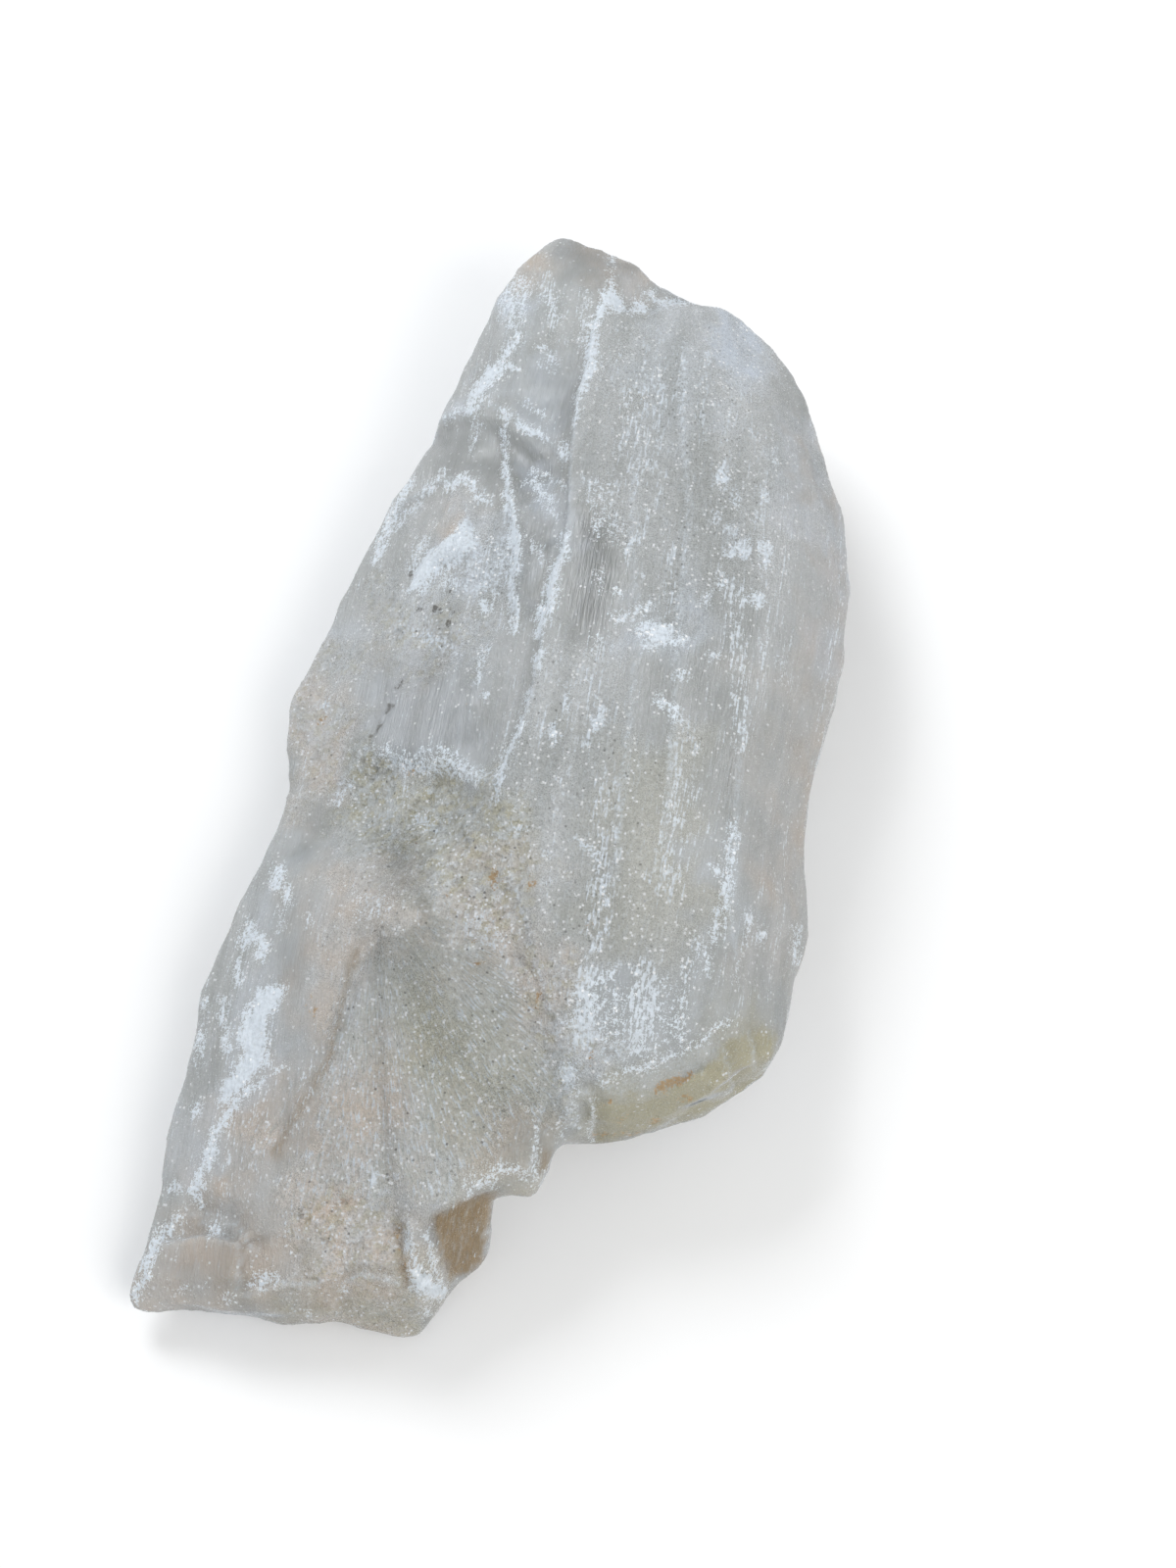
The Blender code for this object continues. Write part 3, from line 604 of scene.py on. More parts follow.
HOLLOW = [(384, 846), (424, 840), (436, 912), (396, 920)]
LOWER_HOLLOW = [(368, 938), (402, 940), (410, 990), (372, 988)]
clear = marks(16, crisp, patches=[
    (0.4, [(436, 448), (460, 432), (500, 424), (545, 444), (574, 478), (560, 500), (534, 520), (500, 488),
           (440, 488)]),
    (0.6, [(528, 530), (556, 540), (552, 612), (544, 640), (528, 640)]),
    (0.3, LARGE_WINDOW),
    (0.6, [(578, 520), (628, 528), (630, 600), (612, 656), (588, 652), (578, 610), (584, 570)]),
    (0.7, [(340, 810), (348, 820), (312, 876), (298, 872)]),
    (0.3, [(278, 921), (312, 921), (306, 1002), (284, 1002)]),
    (0.5, [(528, 380), (582, 360), (586, 430), (568, 446), (530, 420)]),
    (0.35, LOWER_HOLLOW),
    (0.4, [(400, 980), (430, 960), (486, 1080), (440, 1100)]),
    (0.6, HOLLOW),
    (0.4, [(480, 1090), (560, 1110), (556, 1180), (500, 1190)]),
    (0.2, [(156, 1274), (244, 1270), (244, 1320), (150, 1310)]),
    (0.6, [(574, 254), (600, 254), (646, 274), (610, 290), (580, 282)]),
])

# Painted shade in shadowed gaps: the foot of a slab, the crease, pits and a few faces, where the stone is
# seen to be darker, are drawn darker in its colour.
shadows = marks(14, crisp, lines=[
    (1.0, [(243, 1322, 7), (246, 1300, 9), (248, 1282, 8), (243, 1264, 7), (226, 1258, 6)]),
    (1.0, [(258, 1276, 6), (248, 1258, 6), (236, 1246, 6), (206, 1240, 6)]),
    (0.7, [(384, 930, 8), (386, 1010, 8), (388, 1100, 7), (396, 1180, 6), (404, 1240, 5)]),
    (0.8, [(439, 1248, 4), (446, 1276, 4), (458, 1304, 4)]),
    (0.55, [(602, 536, 36), (600, 600, 34), (592, 640, 24)]),
    (0.6, [(738, 1062, 4), (750, 1110, 4)]),
    (0.6, [(766, 1054, 4), (782, 1092, 4)]),
    (0.6, [(360, 975, 6), (345, 1043, 6), (320, 1100, 6), (284, 1180, 6)]),
], patches=[
    (0.9, [(192, 1236), (238, 1244), (250, 1262), (244, 1274), (204, 1258), (186, 1252)]),
    (0.8, [(436, 616), (468, 610), (480, 626), (462, 640), (438, 640)]),
    (0.3, [(410, 784), (440, 776), (480, 800), (470, 830), (420, 826)]),
    (0.25, HOLLOW),
    (0.4, LOWER_HOLLOW),
    (0.4, [(244, 1322), (345, 1310), (456, 1320), (430, 1374), (345, 1352), (240, 1348)]),
    (0.4, [(536, 520), (576, 524), (574, 560), (556, 574), (540, 560)]),
])
painted_shade = np.maximum(painted_shade, shadows)

# Sugary ground.
# Bruised faces and old breaks are a mass of tiny facets that glitter like sugar; the glitter is painted
# into the colour as glints and lighter and darker facets.

SPECKLED_GROUND = [(386, 600), (470, 610), (500, 680), (400, 690), (356, 680)]
sugary = marks(24, loose, patches=[
    (1.0, [(372, 772), (500, 790), (540, 850), (560, 930), (470, 940), (380, 930), (350, 860)]),
    (0.85, [(350, 900), (500, 900), (560, 1000), (580, 1100), (540, 1180), (440, 1230), (340, 1240),
            (290, 1200), (340, 1060)]),
    (0.9, [(312, 1214), (412, 1220), (430, 1310), (330, 1316), (280, 1300)]),
    (0.9, SPECKLED_GROUND),
    (0.8, [(300, 700), (340, 690), (380, 760), (330, 830), (296, 800)]),
    (0.8, [(440, 540), (524, 530), (520, 620), (440, 620)]),
    (0.7, [(570, 640), (650, 640), (640, 960), (560, 900), (520, 820)]),
    (0.7, [(560, 700), (700, 760), (700, 980), (600, 1000), (560, 900)]),
    (0.8, [(500, 860), (560, 860), (600, 1080), (560, 1110)]),
    (0.7, [(350, 1316), (460, 1316), (430, 1372), (350, 1362)]),
    (0.6, [(620, 330), (780, 330), (820, 560), (700, 640), (600, 520)]),
])
LEAST_SUGARY = 0.14
sugary = np.clip(LEAST_SUGARY + (1 - LEAST_SUGARY) * sugary - 0.4 * clear, 0, 1)

# Broken ground: lumps and small facets where the blade has snapped across its fibres.
broken = marks(16, loose, patches=[
    (1.0, [(372, 776), (440, 772), (498, 792), (532, 840), (548, 920), (500, 950), (430, 930),
           (390, 900), (360, 850)]),
    (0.8, [(500, 880), (556, 900), (576, 1000), (600, 1090), (560, 1110), (530, 1000)]),
    (0.8, [(312, 1210), (412, 1216), (430, 1300), (350, 1312), (280, 1296)]),
    (0.5, [(244, 1322), (345, 1308), (456, 1316), (430, 1374), (345, 1352), (240, 1348)]),
    (0.6, SPECKLED_GROUND),
    (0.6, [(564, 1104), (606, 1108), (604, 1172), (564, 1174)]),
    (0.5, [(296, 700), (340, 690), (370, 760), (330, 830), (296, 810)]),
])

# The feather face below the break, whose fibres fan out downwards from one spot. Each point gets its
# place across and along the fan, in mm.
feather = marks(20, loose, patches=[
    (1.0, [(372, 950), (420, 940), (480, 940), (530, 990), (566, 1090), (552, 1180), (500, 1190),
           (470, 1224), (400, 1230), (330, 1236), (270, 1196), (300, 1090), (350, 1000)]),
])
FAN_SPOT = (384, 915)
FAN_SPREAD = 50.0
PIXELS_PER_MM = 4.0
across_fan = FAN_SPREAD * np.arctan2(px - FAN_SPOT[0], py - FAN_SPOT[1])
along_fan = np.hypot(px - FAN_SPOT[0], py - FAN_SPOT[1]) / PIXELS_PER_MM

# Fibrous end wall under the broken tip, where the fibres stand on end.
wall = marks(10, crisp, patches=[
    (1.0, [(412, 1236), (471, 1225), (506, 1214), (500, 1256), (494, 1283), (484, 1300), (456, 1318),
           (424, 1312)]),
])

# Tints.
# Iron and clay in the cracks stain the milky stone pinkish beige, greenish yellow, ochre and brown.

# Pinkish beige clay.
warm = marks(30, loose, lines=[
    (1.0, [(846, 470, 26), (858, 560, 30), (860, 640, 30), (846, 720, 24), (830, 800, 20),
           (800, 900, 24)]),
    (0.9, [(366, 960, 12), (354, 1010, 14), (342, 1060, 14), (316, 1109, 16), (290, 1160, 16)]),
], patches=[
    (0.8, [(312, 900), (363, 900), (352, 1043), (316, 1060), (312, 980)]),
    (0.9, [(351, 900), (402, 904), (400, 946), (354, 945)]),
    (0.9, [(463, 925), (496, 929), (494, 960), (462, 957)]),
    (0.8, [(500, 930), (560, 930), (576, 1050), (540, 1050)]),
    (1.0, [(311, 1210), (413, 1216), (424, 1306), (330, 1312), (300, 1270)]),
    (0.8, [(340, 1060), (420, 1080), (400, 1210), (300, 1220)]),
    (0.9, [(214, 1196), (236, 1200), (232, 1226), (212, 1222)]),
    (0.3, [(463, 509), (452, 530), (445, 557), (463, 543), (472, 520)]),
    (0.7, [(296, 700), (350, 690), (370, 750), (330, 830), (292, 800)]),
    (0.3, [(380, 640), (470, 660), (440, 700), (370, 690)]),
    (0.3, [(790, 700), (840, 700), (826, 960), (776, 1000)]),
    (0.6, [(440, 920), (520, 860), (560, 930), (480, 980)]),
    (0.8, [(150, 1240), (250, 1230), (330, 1260), (454, 1310), (430, 1376), (240, 1350), (128, 1344)]),
    (0.7, [(240, 1100), (300, 1080), (340, 1200), (240, 1240)]),
    (0.6, [(470, 1160), (556, 1150), (552, 1222), (480, 1220)]),
], spots=[(1.0, 550, 266, 18, 12), (0.9, 660, 280, 10, 12), (0.8, 610, 262, 34, 12)])
# Greenish yellow, mostly on the end face and in the broken ground.
greenish = marks(30, loose, patches=[
    (1.0, [(606, 1110), (680, 1086), (745, 1046), (786, 1040), (790, 1100), (756, 1120), (700, 1144),
           (604, 1168)]),
    (0.7, [(400, 940), (480, 950), (540, 1060), (540, 1150), (440, 1200), (400, 1100)]),
    (0.8, [(244, 1320), (456, 1322), (430, 1374), (244, 1350)]),
    (0.6, [(430, 1080), (560, 1090), (562, 1222), (470, 1222)]),
    (0.55, [(366, 780), (440, 772), (500, 800), (530, 860), (540, 920), (420, 900), (360, 850)]),
    (0.3, [(600, 760), (740, 760), (730, 980), (600, 980)]),
    (0.4, [(720, 1022), (788, 1022), (786, 1062), (728, 1062)]),
])
# Brown in the end wall and along a few cracks.
tan = marks(5, crisp, patches=[
    (1.0, [(441, 1243), (471, 1227), (504, 1217), (498, 1254), (492, 1281), (484, 1297), (459, 1303)]),
    (0.7, [(553, 1175), (563, 1175), (562, 1196), (552, 1196)]),
], lines=[
    (1.0, [(405, 1249, 5), (409, 1278, 6), (415, 1311, 6)]),
    (0.6, [(363, 972, 6), (355, 994, 6), (345, 1043, 6), (331, 1088, 6), (292, 1151, 6), (282, 1180, 6)]),
])
# Rust spots.
rusty = marks(6, crisp, lines=[
    (1.0, [(672, 1113, 5), (684, 1107, 9), (694, 1102, 9), (708, 1097, 5)]),
    (0.8, [(631, 1145, 3), (643, 1138, 3)]),
    (0.8, [(616, 1128, 3), (627, 1122, 3)]),
    (0.75, [(606, 1160, 4), (655, 1157, 4)]),
    (0.62, [(404, 1252, 4), (409, 1278, 5), (414, 1308, 4)]),
    (0.8, [(551, 1009, 4), (551, 1034, 4)]),
], spots=[
    (0.6, 329, 733, 6, 7), (0.5, 420, 790, 6, 8), (0.5, 426, 857, 7, 6), (0.5, 455, 914, 8, 5),
    (0.55, 543, 904, 6, 9), (0.6, 505, 896, 8, 14), (0.5, 490, 982, 6, 6), (0.5, 486, 959, 6, 6),
    (0.6, 604, 1081, 4, 9), (0.6, 601, 944, 4, 4), (0.6, 314, 1020, 4, 4), (0.6, 319, 1031, 4, 4),
    (0.85, 668, 1144, 4, 4), (0.8, 700, 1120, 6, 4),
])
# Dark pits and cracks.
dark = marks(5, crisp, lines=[(0.8, rows) for rows in PITS] + [
    (0.85, [(381, 752, 5), (388, 740, 6)]),
    (0.9, [(394, 728, 5), (400, 716, 7)]),
    (0.8, [(404, 706, 5), (412, 692, 5)]),
    (0.7, [(531, 993, 3), (545, 1052, 4)]),
], spots=[
    (0.9, 446, 623, 6, 5), (0.9, 429, 622, 5, 4), (0.85, 457, 637, 5, 4), (0.85, 464, 625, 4, 5),
    (0.85, 420, 585, 4, 4), (0.85, 458, 605, 4, 4), (0.8, 381, 950, 4, 4),
    (0.8, 387, 1017, 4, 4), (0.85, 440, 1143, 4, 4), (0.8, 358, 893, 4, 4),
])
# Small peach faces with plain edges, clean of frost.
peach = marks(5, crisp, patches=[
    (1.0, [(466, 504), (454, 526), (443, 558), (468, 548), (474, 524)]),
    (0.8, [(214, 1196), (236, 1200), (232, 1226), (212, 1222)]),
    (0.7, [(262, 1142), (300, 1130), (296, 1180), (262, 1190)]),
], spots=[(1.0, 548, 266, 20, 11), (0.9, 660, 281, 10, 12)])
frost_and_reflections *= 1 - 0.9 * peach
warm = np.maximum(warm, peach)

# The broken end face and its bevel, which show few fibres.
END_FACE = [(608, 1122), (656, 1120), (686, 1108), (724, 1084), (742, 1060), (776, 1046), (792, 1060),
            (790, 1096), (756, 1120), (700, 1146), (604, 1172)]
BEVEL = [(612, 1104), (656, 1093), (706, 1073), (744, 1054), (728, 1082), (686, 1108), (656, 1120),
         (608, 1122)]
end_face = marks(6, crisp, patches=[(1.0, END_FACE)])
bevel = marks(6, crisp, patches=[(1.0, BEVEL)])

# Parts that are milkier than the rest.
MILKIER = [
    (0.5, [(290, 820), (560, 900), (584, 1100), (500, 1230), (456, 1320), (130, 1320), (200, 1100)]),
    (0.7, [(786, 560), (862, 560), (850, 700), (830, 960), (776, 1040), (770, 800)]),
    (0.3, [(740, 300), (800, 330), (860, 480), (850, 620), (800, 560), (770, 420)]),
]
milkier = marks(40, loose, patches=MILKIER)

# Clouds and bands of milkiness inside the stone: size in mm, seed, and how far they are drawn out.
# They vary the tints, and bands of fine streaks run everywhere but in the windows and the end face.
clouds = wander(22, 11)
bands = wander(4.5, 12, 14)
patchy = wander(9, 13)
cloudy = np.clip(0.45 + 0.7 * clouds + 0.8 * bands * (1 - clear), 0, 1)
# The bevel is painted lighter here: a painted highlight on that face.
cloudy = np.clip(cloudy + milkier + 0.6 * bevel - 0.2 * end_face, 0, 1)
greenish *= np.clip(0.7 + 0.8 * clouds, 0, 1)
greenish = np.maximum(greenish, np.maximum(end_face - 0.6 * bevel, 0.4 * bevel))
warm *= np.clip(0.75 + 0.9 * patchy, 0, 1)
haze_and_reflections *= np.clip(0.85 + 0.5 * bands, 0, 1)
streaks = np.maximum(streaks, 0.3 + 0.5 * bands)
streaks *= (1 - 0.8 * clear) * (1 - 0.6 * np.maximum(bevel, end_face))
# The bevel also gets the painted highlight of ledge edges.
edges = np.maximum(edges, 0.5 * bevel)

# The sides that are turned away are not drawn: they get parting veins, streaks and tints by chance.
VEIN_WIDTH = 0.05
VEIN_FROST = 0.62
MOST_BLOTCHED = 0.5
MOST_HAZY = 0.7
MOST_SUGARY = 0.8
MOST_WARM = 0.6

unseen = 1 - seen
veins = np.clip(1 - abs(wander(16, 21)) / VEIN_WIDTH, 0, 1) * (wander(30, 22) > 0)
blotches = np.clip(2.4 * wander(9, 23, 3) - 0.5, 0, MOST_BLOTCHED)
frost_and_reflections = np.maximum(frost_and_reflections, np.maximum(VEIN_FROST * veins, blotches) * unseen)
streaks = np.maximum(streaks, (0.55 + 0.5 * bands) * unseen)
haze_and_reflections = np.maximum(haze_and_reflections, np.clip(0.3 + 1.2 * clouds, 0, MOST_HAZY) * unseen)
sugary += (np.clip(0.3 + 0.8 * wander(12, 24), 0, MOST_SUGARY) - sugary) * unseen
warm = np.maximum(warm, np.clip(0.2 + wander(18, 25), 0, MOST_WARM) * unseen)

# Fibre ribs run where the stone is neither broken, fanned, on end nor glassy.
ribbed = np.clip(1 - broken - 0.8 * feather - wall - clear, 0, 1)


def keep(name, values):
    """Keeps a value for each point of the stone, for its surface and its material."""
    layer = stone.data.attributes.new(name, "FLOAT", "POINT")
    layer.data.foreach_set("value", values.astype(np.float32))


for name, values in {
    "frost_and_reflections": frost_and_reflections, "streaks": streaks, "haze_and_reflections": haze_and_reflections, "clear": clear, "sugary": sugary, "broken": broken,
    "feather": feather, "wall": wall, "warm": warm, "greenish": greenish, "tan": tan, "rusty": rusty,
    "dark": dark, "ribbed": ribbed, "cloudy": cloudy, "edges": edges, "painted_shade": painted_shade,
    "across_fan": across_fan, "along_fan": along_fan,
}.items():
    keep(name, values)

# Fibres, grain and lumps.
# The fibres lie along the blade, a few degrees off its length. They fan out on the feather face and
# stand on end in the end wall. Broken ground is lumpy, and all of it is finely uneven.

IN_MM = (1000, 1000, 1000)
FIBRES_DRAWN_OUT = (1, 0.07, 1)
PLATES_DRAWN_OUT = (1, 0.1, 1)
RODS_DRAWN_OUT = (1, 0.12, 0.12)
FAN_DRAWN_OUT = 0.16
NOISE_GAIN = 2.4
GRAIN_DETAIL = (3.0, 0.6)
SWELL_PER_MM = 0.035
LUMP_SHIFT = (0.3, 0.2, 0.3)
SURFACE_SIZES = {
    "Fibre Width": 2.2, "Fibre Depth": 0.25,
    "Plate Width": 11.0, "Plate Depth": 0.5,
    "Feather Width": 2.6, "Feather Depth": 0.6,
    "Rod Width": 2.0, "Rod Depth": 0.6,
    "Grain Size": 2.4, "Grain Depth": 0.4,
    "Lump Size": 3.8, "Lump Depth": 1.5,
    "Swell": 0.8,
}


def node(tree, kind, inputs=None, **settings):
    """Adds a node. Its inputs are values or other nodes' outputs."""
    made = tree.nodes.new(kind)
    for name, value in settings.items():
        setattr(made, name, value)
    for name, value in (inputs or {}).items():
        if isinstance(value, bpy.types.NodeSocket):
            tree.links.new(value, made.inputs[name])
        else:
            made.inputs[name].default_value = value
    return made


def maths(tree, operation, first, second=0.0, third=0.0, clamp=False):
    """A calculation with numbers."""
    inputs = {0: first, 1: second, 2: third}
    return node(tree, "ShaderNodeMath", inputs, operation=operation, use_clamp=clamp).outputs[0]


def vector(tree, operation, first, second=(0, 0, 0)):
    """A calculation with vectors. A dot product gives a number."""
    made = node(tree, "ShaderNodeVectorMath", {0: first, 1: second}, operation=operation)
    return made.outputs["Value" if operation == "DOT_PRODUCT" else 0]


def scaled(tree, place, factor):
    """A vector times a number."""
    return node(tree, "ShaderNodeVectorMath", {0: place, "Scale": factor}, operation="SCALE").outputs[0]


def along_fibres(tree, place, drawn_out):
    """Places turned to the fibres, then scaled, so that noise on them is drawn out."""
    inputs = {"Vector": place, "Axis": (0, 0, 1), "Angle": FIBRE_TURN}
    made = node(tree, "ShaderNodeVectorRotate", inputs, rotation_type="AXIS_ANGLE")
    return vector(tree, "MULTIPLY", made.outputs[0], drawn_out)


def along_the_fan(tree, across, along):
    """Places on the feather face, scaled so that noise on them is drawn out along its fan."""
    inputs = {0: across, 1: maths(tree, "MULTIPLY", along, FAN_DRAWN_OUT)}
    return node(tree, "ShaderNodeCombineXYZ", inputs).outputs[0]


def noise(tree, place, per_mm, detail=2.0, roughness=0.5):
    """Smooth noise about 0, mostly from -0.5 to 0.5."""
    inputs = {"Vector": place, "Scale": per_mm, "Detail": detail, "Roughness": roughness}
    made = node(tree, "ShaderNodeTexNoise", inputs, noise_dimensions="3D")
    return maths(tree, "MULTIPLY_ADD", made.outputs[0], NOISE_GAIN, -NOISE_GAIN / 2)


def lumpy(tree, place):
    """Ground of tilted facets: each cell of it slopes its own way."""
    cells = node(tree, "ShaderNodeTexVoronoi", {"Vector": place, "Scale": 1.0}, voronoi_dimensions="3D")
    tilt = vector(tree, "SUBTRACT", cells.outputs["Color"], (0.5, 0.5, 0.5))
    from_cell = vector(tree, "SUBTRACT", place, cells.outputs["Position"])
    return vector(tree, "DOT_PRODUCT", tilt, vector(tree, "ADD", from_cell, LUMP_SHIFT))


def stone_value(tree, name):
    """A value that the stone's points keep."""
    made = node(tree, "GeometryNodeInputNamedAttribute", {"Name": name}, data_type="FLOAT")
    return made.outputs["Attribute"]


def surface_tree():
    """The tree that makes the stone's fibres, grain and lumps."""
    tree = bpy.data.node_groups.new("stone_surface", "GeometryNodeTree")
    face = tree.interface
    face.new_socket("Geometry", in_out="INPUT", socket_type="NodeSocketGeometry")
    for name, value in SURFACE_SIZES.items():
        socket = face.new_socket(name, in_out="INPUT", socket_type="NodeSocketFloat")
        socket.default_value = value
    face.new_socket("Material", in_out="INPUT", socket_type="NodeSocketMaterial")
    face.new_socket("Geometry", in_out="OUTPUT", socket_type="NodeSocketGeometry")
    given = node(tree, "NodeGroupInput").outputs
    place = vector(tree, "MULTIPLY", node(tree, "GeometryNodeInputPosition").outputs[0], IN_MM)

    def per_mm(size):
        """How many waves of a given size fit in a mm."""
        return maths(tree, "DIVIDE", 1, given[size])

    def share(attribute, size):
        """A given size, as far as a value of the stone's points allows it."""
        return maths(tree, "MULTIPLY", stone_value(tree, attribute), given[size])

    fan = along_the_fan(tree, stone_value(tree, "across_fan"), stone_value(tree, "along_fan"))
    fibres = noise(tree, along_fibres(tree, place, FIBRES_DRAWN_OUT), per_mm("Fibre Width"))
    plates = noise(tree, along_fibres(tree, place, PLATES_DRAWN_OUT), per_mm("Plate Width"))
    fans = noise(tree, fan, per_mm("Feather Width"))
    rods = noise(tree, vector(tree, "MULTIPLY", place, RODS_DRAWN_OUT), per_mm("Rod Width"))
    grain = noise(tree, place, per_mm("Grain Size"), *GRAIN_DETAIL)
    lumps = lumpy(tree, scaled(tree, place, per_mm("Lump Size")))

    rise = 0.0
    for pattern, attribute, size in (
        (fibres, "ribbed", "Fibre Depth"), (plates, "ribbed", "Plate Depth"),
        (fans, "feather", "Feather Depth"), (rods, "wall", "Rod Depth"),
        (grain, "sugary", "Grain Depth"), (lumps, "broken", "Lump Depth"),
    ):
        rise = maths(tree, "MULTIPLY_ADD", pattern, share(attribute, size), rise)
    rise = maths(tree, "MULTIPLY_ADD", noise(tree, place, SWELL_PER_MM), given["Swell"], rise)
    rise = maths(tree, "MULTIPLY", rise, MM)
    offset = scaled(tree, node(tree, "GeometryNodeInputNormal").outputs[0], rise)
    moved = node(tree, "GeometryNodeSetPosition", {"Geometry": given["Geometry"], "Offset": offset})
    real = node(tree, "GeometryNodeRealizeInstances", {"Geometry": moved.outputs[0]})
    inputs = {"Geometry": real.outputs[0], "Material": given["Material"]}
    dressed = node(tree, "GeometryNodeSetMaterial", inputs)
    node(tree, "NodeGroupOutput", {"Geometry": dressed.outputs[0]})
    return tree


# The stone's material.
# Milky selenite: see-through in the windows, cloudy in the rest, white where it is frosted. Light
# that goes in is scattered a few millimetres deep, and dimmed on its way.

MILKY_GREY = (0.475, 0.49, 0.485, 1)
PALE_GREY = (0.62, 0.635, 0.64, 1)
CLEAR_GREY = (0.46, 0.485, 0.465, 1)
FROST_AND_HIGHLIGHT_WHITE = (0.72, 0.78, 0.84, 1)
FROST_SHADE = (0.58, 0.63, 0.68, 1)
PAINTED_SHADE_GREY = (0.3, 0.29, 0.26, 1)
HAZE_AND_REFLECTION_BLUE = (0.55, 0.6, 0.67, 1)
PINK_BEIGE = (0.7, 0.6, 0.51, 1)
GREEN_GREY = (0.53, 0.495, 0.345, 1)
TAN_BROWN = (0.34, 0.235, 0.115, 1)
RUST = (0.36, 0.22, 0.08, 1)
NEARLY_BLACK = (0.07, 0.065, 0.055, 1)
GLINT_WHITE = (0.95, 0.97, 1.0, 1)

SELENITE_IOR = 1.52
SCATTERED = 0.5
SCATTER_REACH = (1.0, 1.0, 0.95)
SCATTER_DEPTH = 6 * MM
DIMMED_TO = (0.78, 0.82, 0.77, 1)
DIMMING_PER_M = 10
BUMP_HEIGHT = 0.6 * MM

selenite = bpy.data.materials.new("milky_selenite")
selenite.use_nodes = True
mix_tree = selenite.node_tree
shader = mix_tree.nodes["Principled BSDF"]


def mixed(factor, first, second):
    """A colour between two, by a factor."""
    made = node(mix_tree, "ShaderNodeMix", data_type="RGBA")
    ends = {socket.identifier: socket for socket in made.inputs}
    for name, value in (("Factor_Float", factor), ("A_Color", first), ("B_Color", second)):
        if isinstance(value, bpy.types.NodeSocket):
            mix_tree.links.new(value, ends[name])
        else:
            ends[name].default_value = value
    return next(socket for socket in made.outputs if socket.identifier == "Result_Color")


def painted(name):
    """A value that the stone's points keep."""
    return node(mix_tree, "ShaderNodeAttribute", attribute_name=name).outputs["Fac"]


def between(value, low, high):
    """An eased step from 0 to 1 as a value goes from low to high."""
    inputs = {"Value": value, "From Min": low, "From Max": high}
    return node(mix_tree, "ShaderNodeMapRange", inputs, interpolation_type="SMOOTHSTEP").outputs["Result"]


def times(first, second):
    """Two values multiplied."""
    return maths(mix_tree, "MULTIPLY", first, second)


def plus(first, second, clamp=False):
    """Two values added, held to 0..1 if clamped."""
    return maths(mix_tree, "ADD", first, second, clamp=clamp)


def rest_of(value, clamp=False):
    """What a value leaves of 1."""
    return maths(mix_tree, "SUBTRACT", 1.0, value, clamp=clamp)


def larger(first, second):
    """The larger of two values at each spot."""
    return maths(mix_tree, "MAXIMUM", first, second)


def chances(place):
    """Three chance values from 0 to 1, the same all over each unit cube of a place."""
    cell = {"Vector": vector(mix_tree, "FLOOR", place)}
    made = node(mix_tree, "ShaderNodeTexWhiteNoise", cell, noise_dimensions="3D")
    split = node(mix_tree, "ShaderNodeSeparateColor", {0: made.outputs["Color"]})
    return [split.outputs[name] for name in ("Red", "Green", "Blue")]


# Patterns: crumbs and fine grain, lines along the fibres, fan or rods, tiny facets and larger chips.
# The first three are noise: waves per mm, detail, roughness.
CRUMBS = (1.0, 3.0, 0.7)
FINE_GRAIN = (2.8, 1.0, 0.6)
LINES = (1.6, 3.0, 0.65)
FACETS_PER_MM = (1.8, 1.8, 1.8)
CHIPS_PER_MM = (0.6, 0.6, 0.6)

in_mm = vector(mix_tree, "MULTIPLY", node(mix_tree, "ShaderNodeTexCoord").outputs["Object"], IN_MM)
fan_place = along_the_fan(mix_tree, painted("across_fan"), painted("along_fan"))
rod_place = vector(mix_tree, "MULTIPLY", in_mm, RODS_DRAWN_OUT)
on_fan = maths(mix_tree, "GREATER_THAN", painted("feather"), 0.5)
on_wall = maths(mix_tree, "GREATER_THAN", painted("wall"), 0.5)
line_place = mixed(on_fan, along_fibres(mix_tree, in_mm, FIBRES_DRAWN_OUT), fan_place)
line_place = mixed(on_wall, line_place, rod_place)

crumbs = noise(mix_tree, in_mm, *CRUMBS)
fine_grain = noise(mix_tree, in_mm, *FINE_GRAIN)
lines = noise(mix_tree, line_place, *LINES)
facet_shade, facet_glint, facet_fleck = chances(vector(mix_tree, "MULTIPLY", in_mm, FACETS_PER_MM))
chip_place = vector(mix_tree, "ADD", vector(mix_tree, "MULTIPLY", in_mm, CHIPS_PER_MM), crumbs)
chip_white, chip_green, _ = chances(chip_place)

# Frost, with the painted sky reflections drawn among it: its drawn edge is made ragged by crumbs, and
# drawn out along the fibres in the streaks.
# Each step says at which value of a pattern its colour sets in, and at which it is full.
FROST_STEP = (0.38, 0.66)
STREAK_STEP = (0.7, 0.96)
SPECK_STEP = (0.2, 0.45)

ragged = plus(times(crumbs, 0.5), times(fine_grain, 0.35))
frost_and_reflection_edge = plus(painted("frost_and_reflections"), plus(ragged, times(lines, 0.35)))
frost_and_reflection_mask = times(between(frost_and_reflection_edge, *FROST_STEP), 0.95)
streak_edge = plus(painted("streaks"), plus(times(lines, 0.9), times(crumbs, 0.5)))
streak_mask = times(between(streak_edge, *STREAK_STEP), 0.8)
no_tan = rest_of(painted("tan"), clamp=True)
speckled = times(plus(painted("sugary"), -0.12, clamp=True), times(no_tan, 0.5))
specks = times(between(plus(crumbs, times(fine_grain, 0.4)), *SPECK_STEP), speckled)
white = larger(larger(frost_and_reflection_mask, streak_mask), specks)

# Body: cloudy grey, stained, hazy with painted reflections, with painted shade at the foot of ledges and
# in gaps, and painted highlights on ledge edges, broken up by crumbs. Over it come the fibres' light and
# dark lines, the light and dark chips of broken ground, and painted shade in the gaps between its crumbs.
LIGHT_LINES = (0.05, 0.35)
DARK_LINES = (-0.05, -0.4)
WHITE_CHIPS = (0.66, 0.7)
GREEN_CHIPS = (0.7, 0.74)
CRUMB_TOPS = (0.1, 0.35)
CRUMB_GAPS = (-0.1, -0.4)

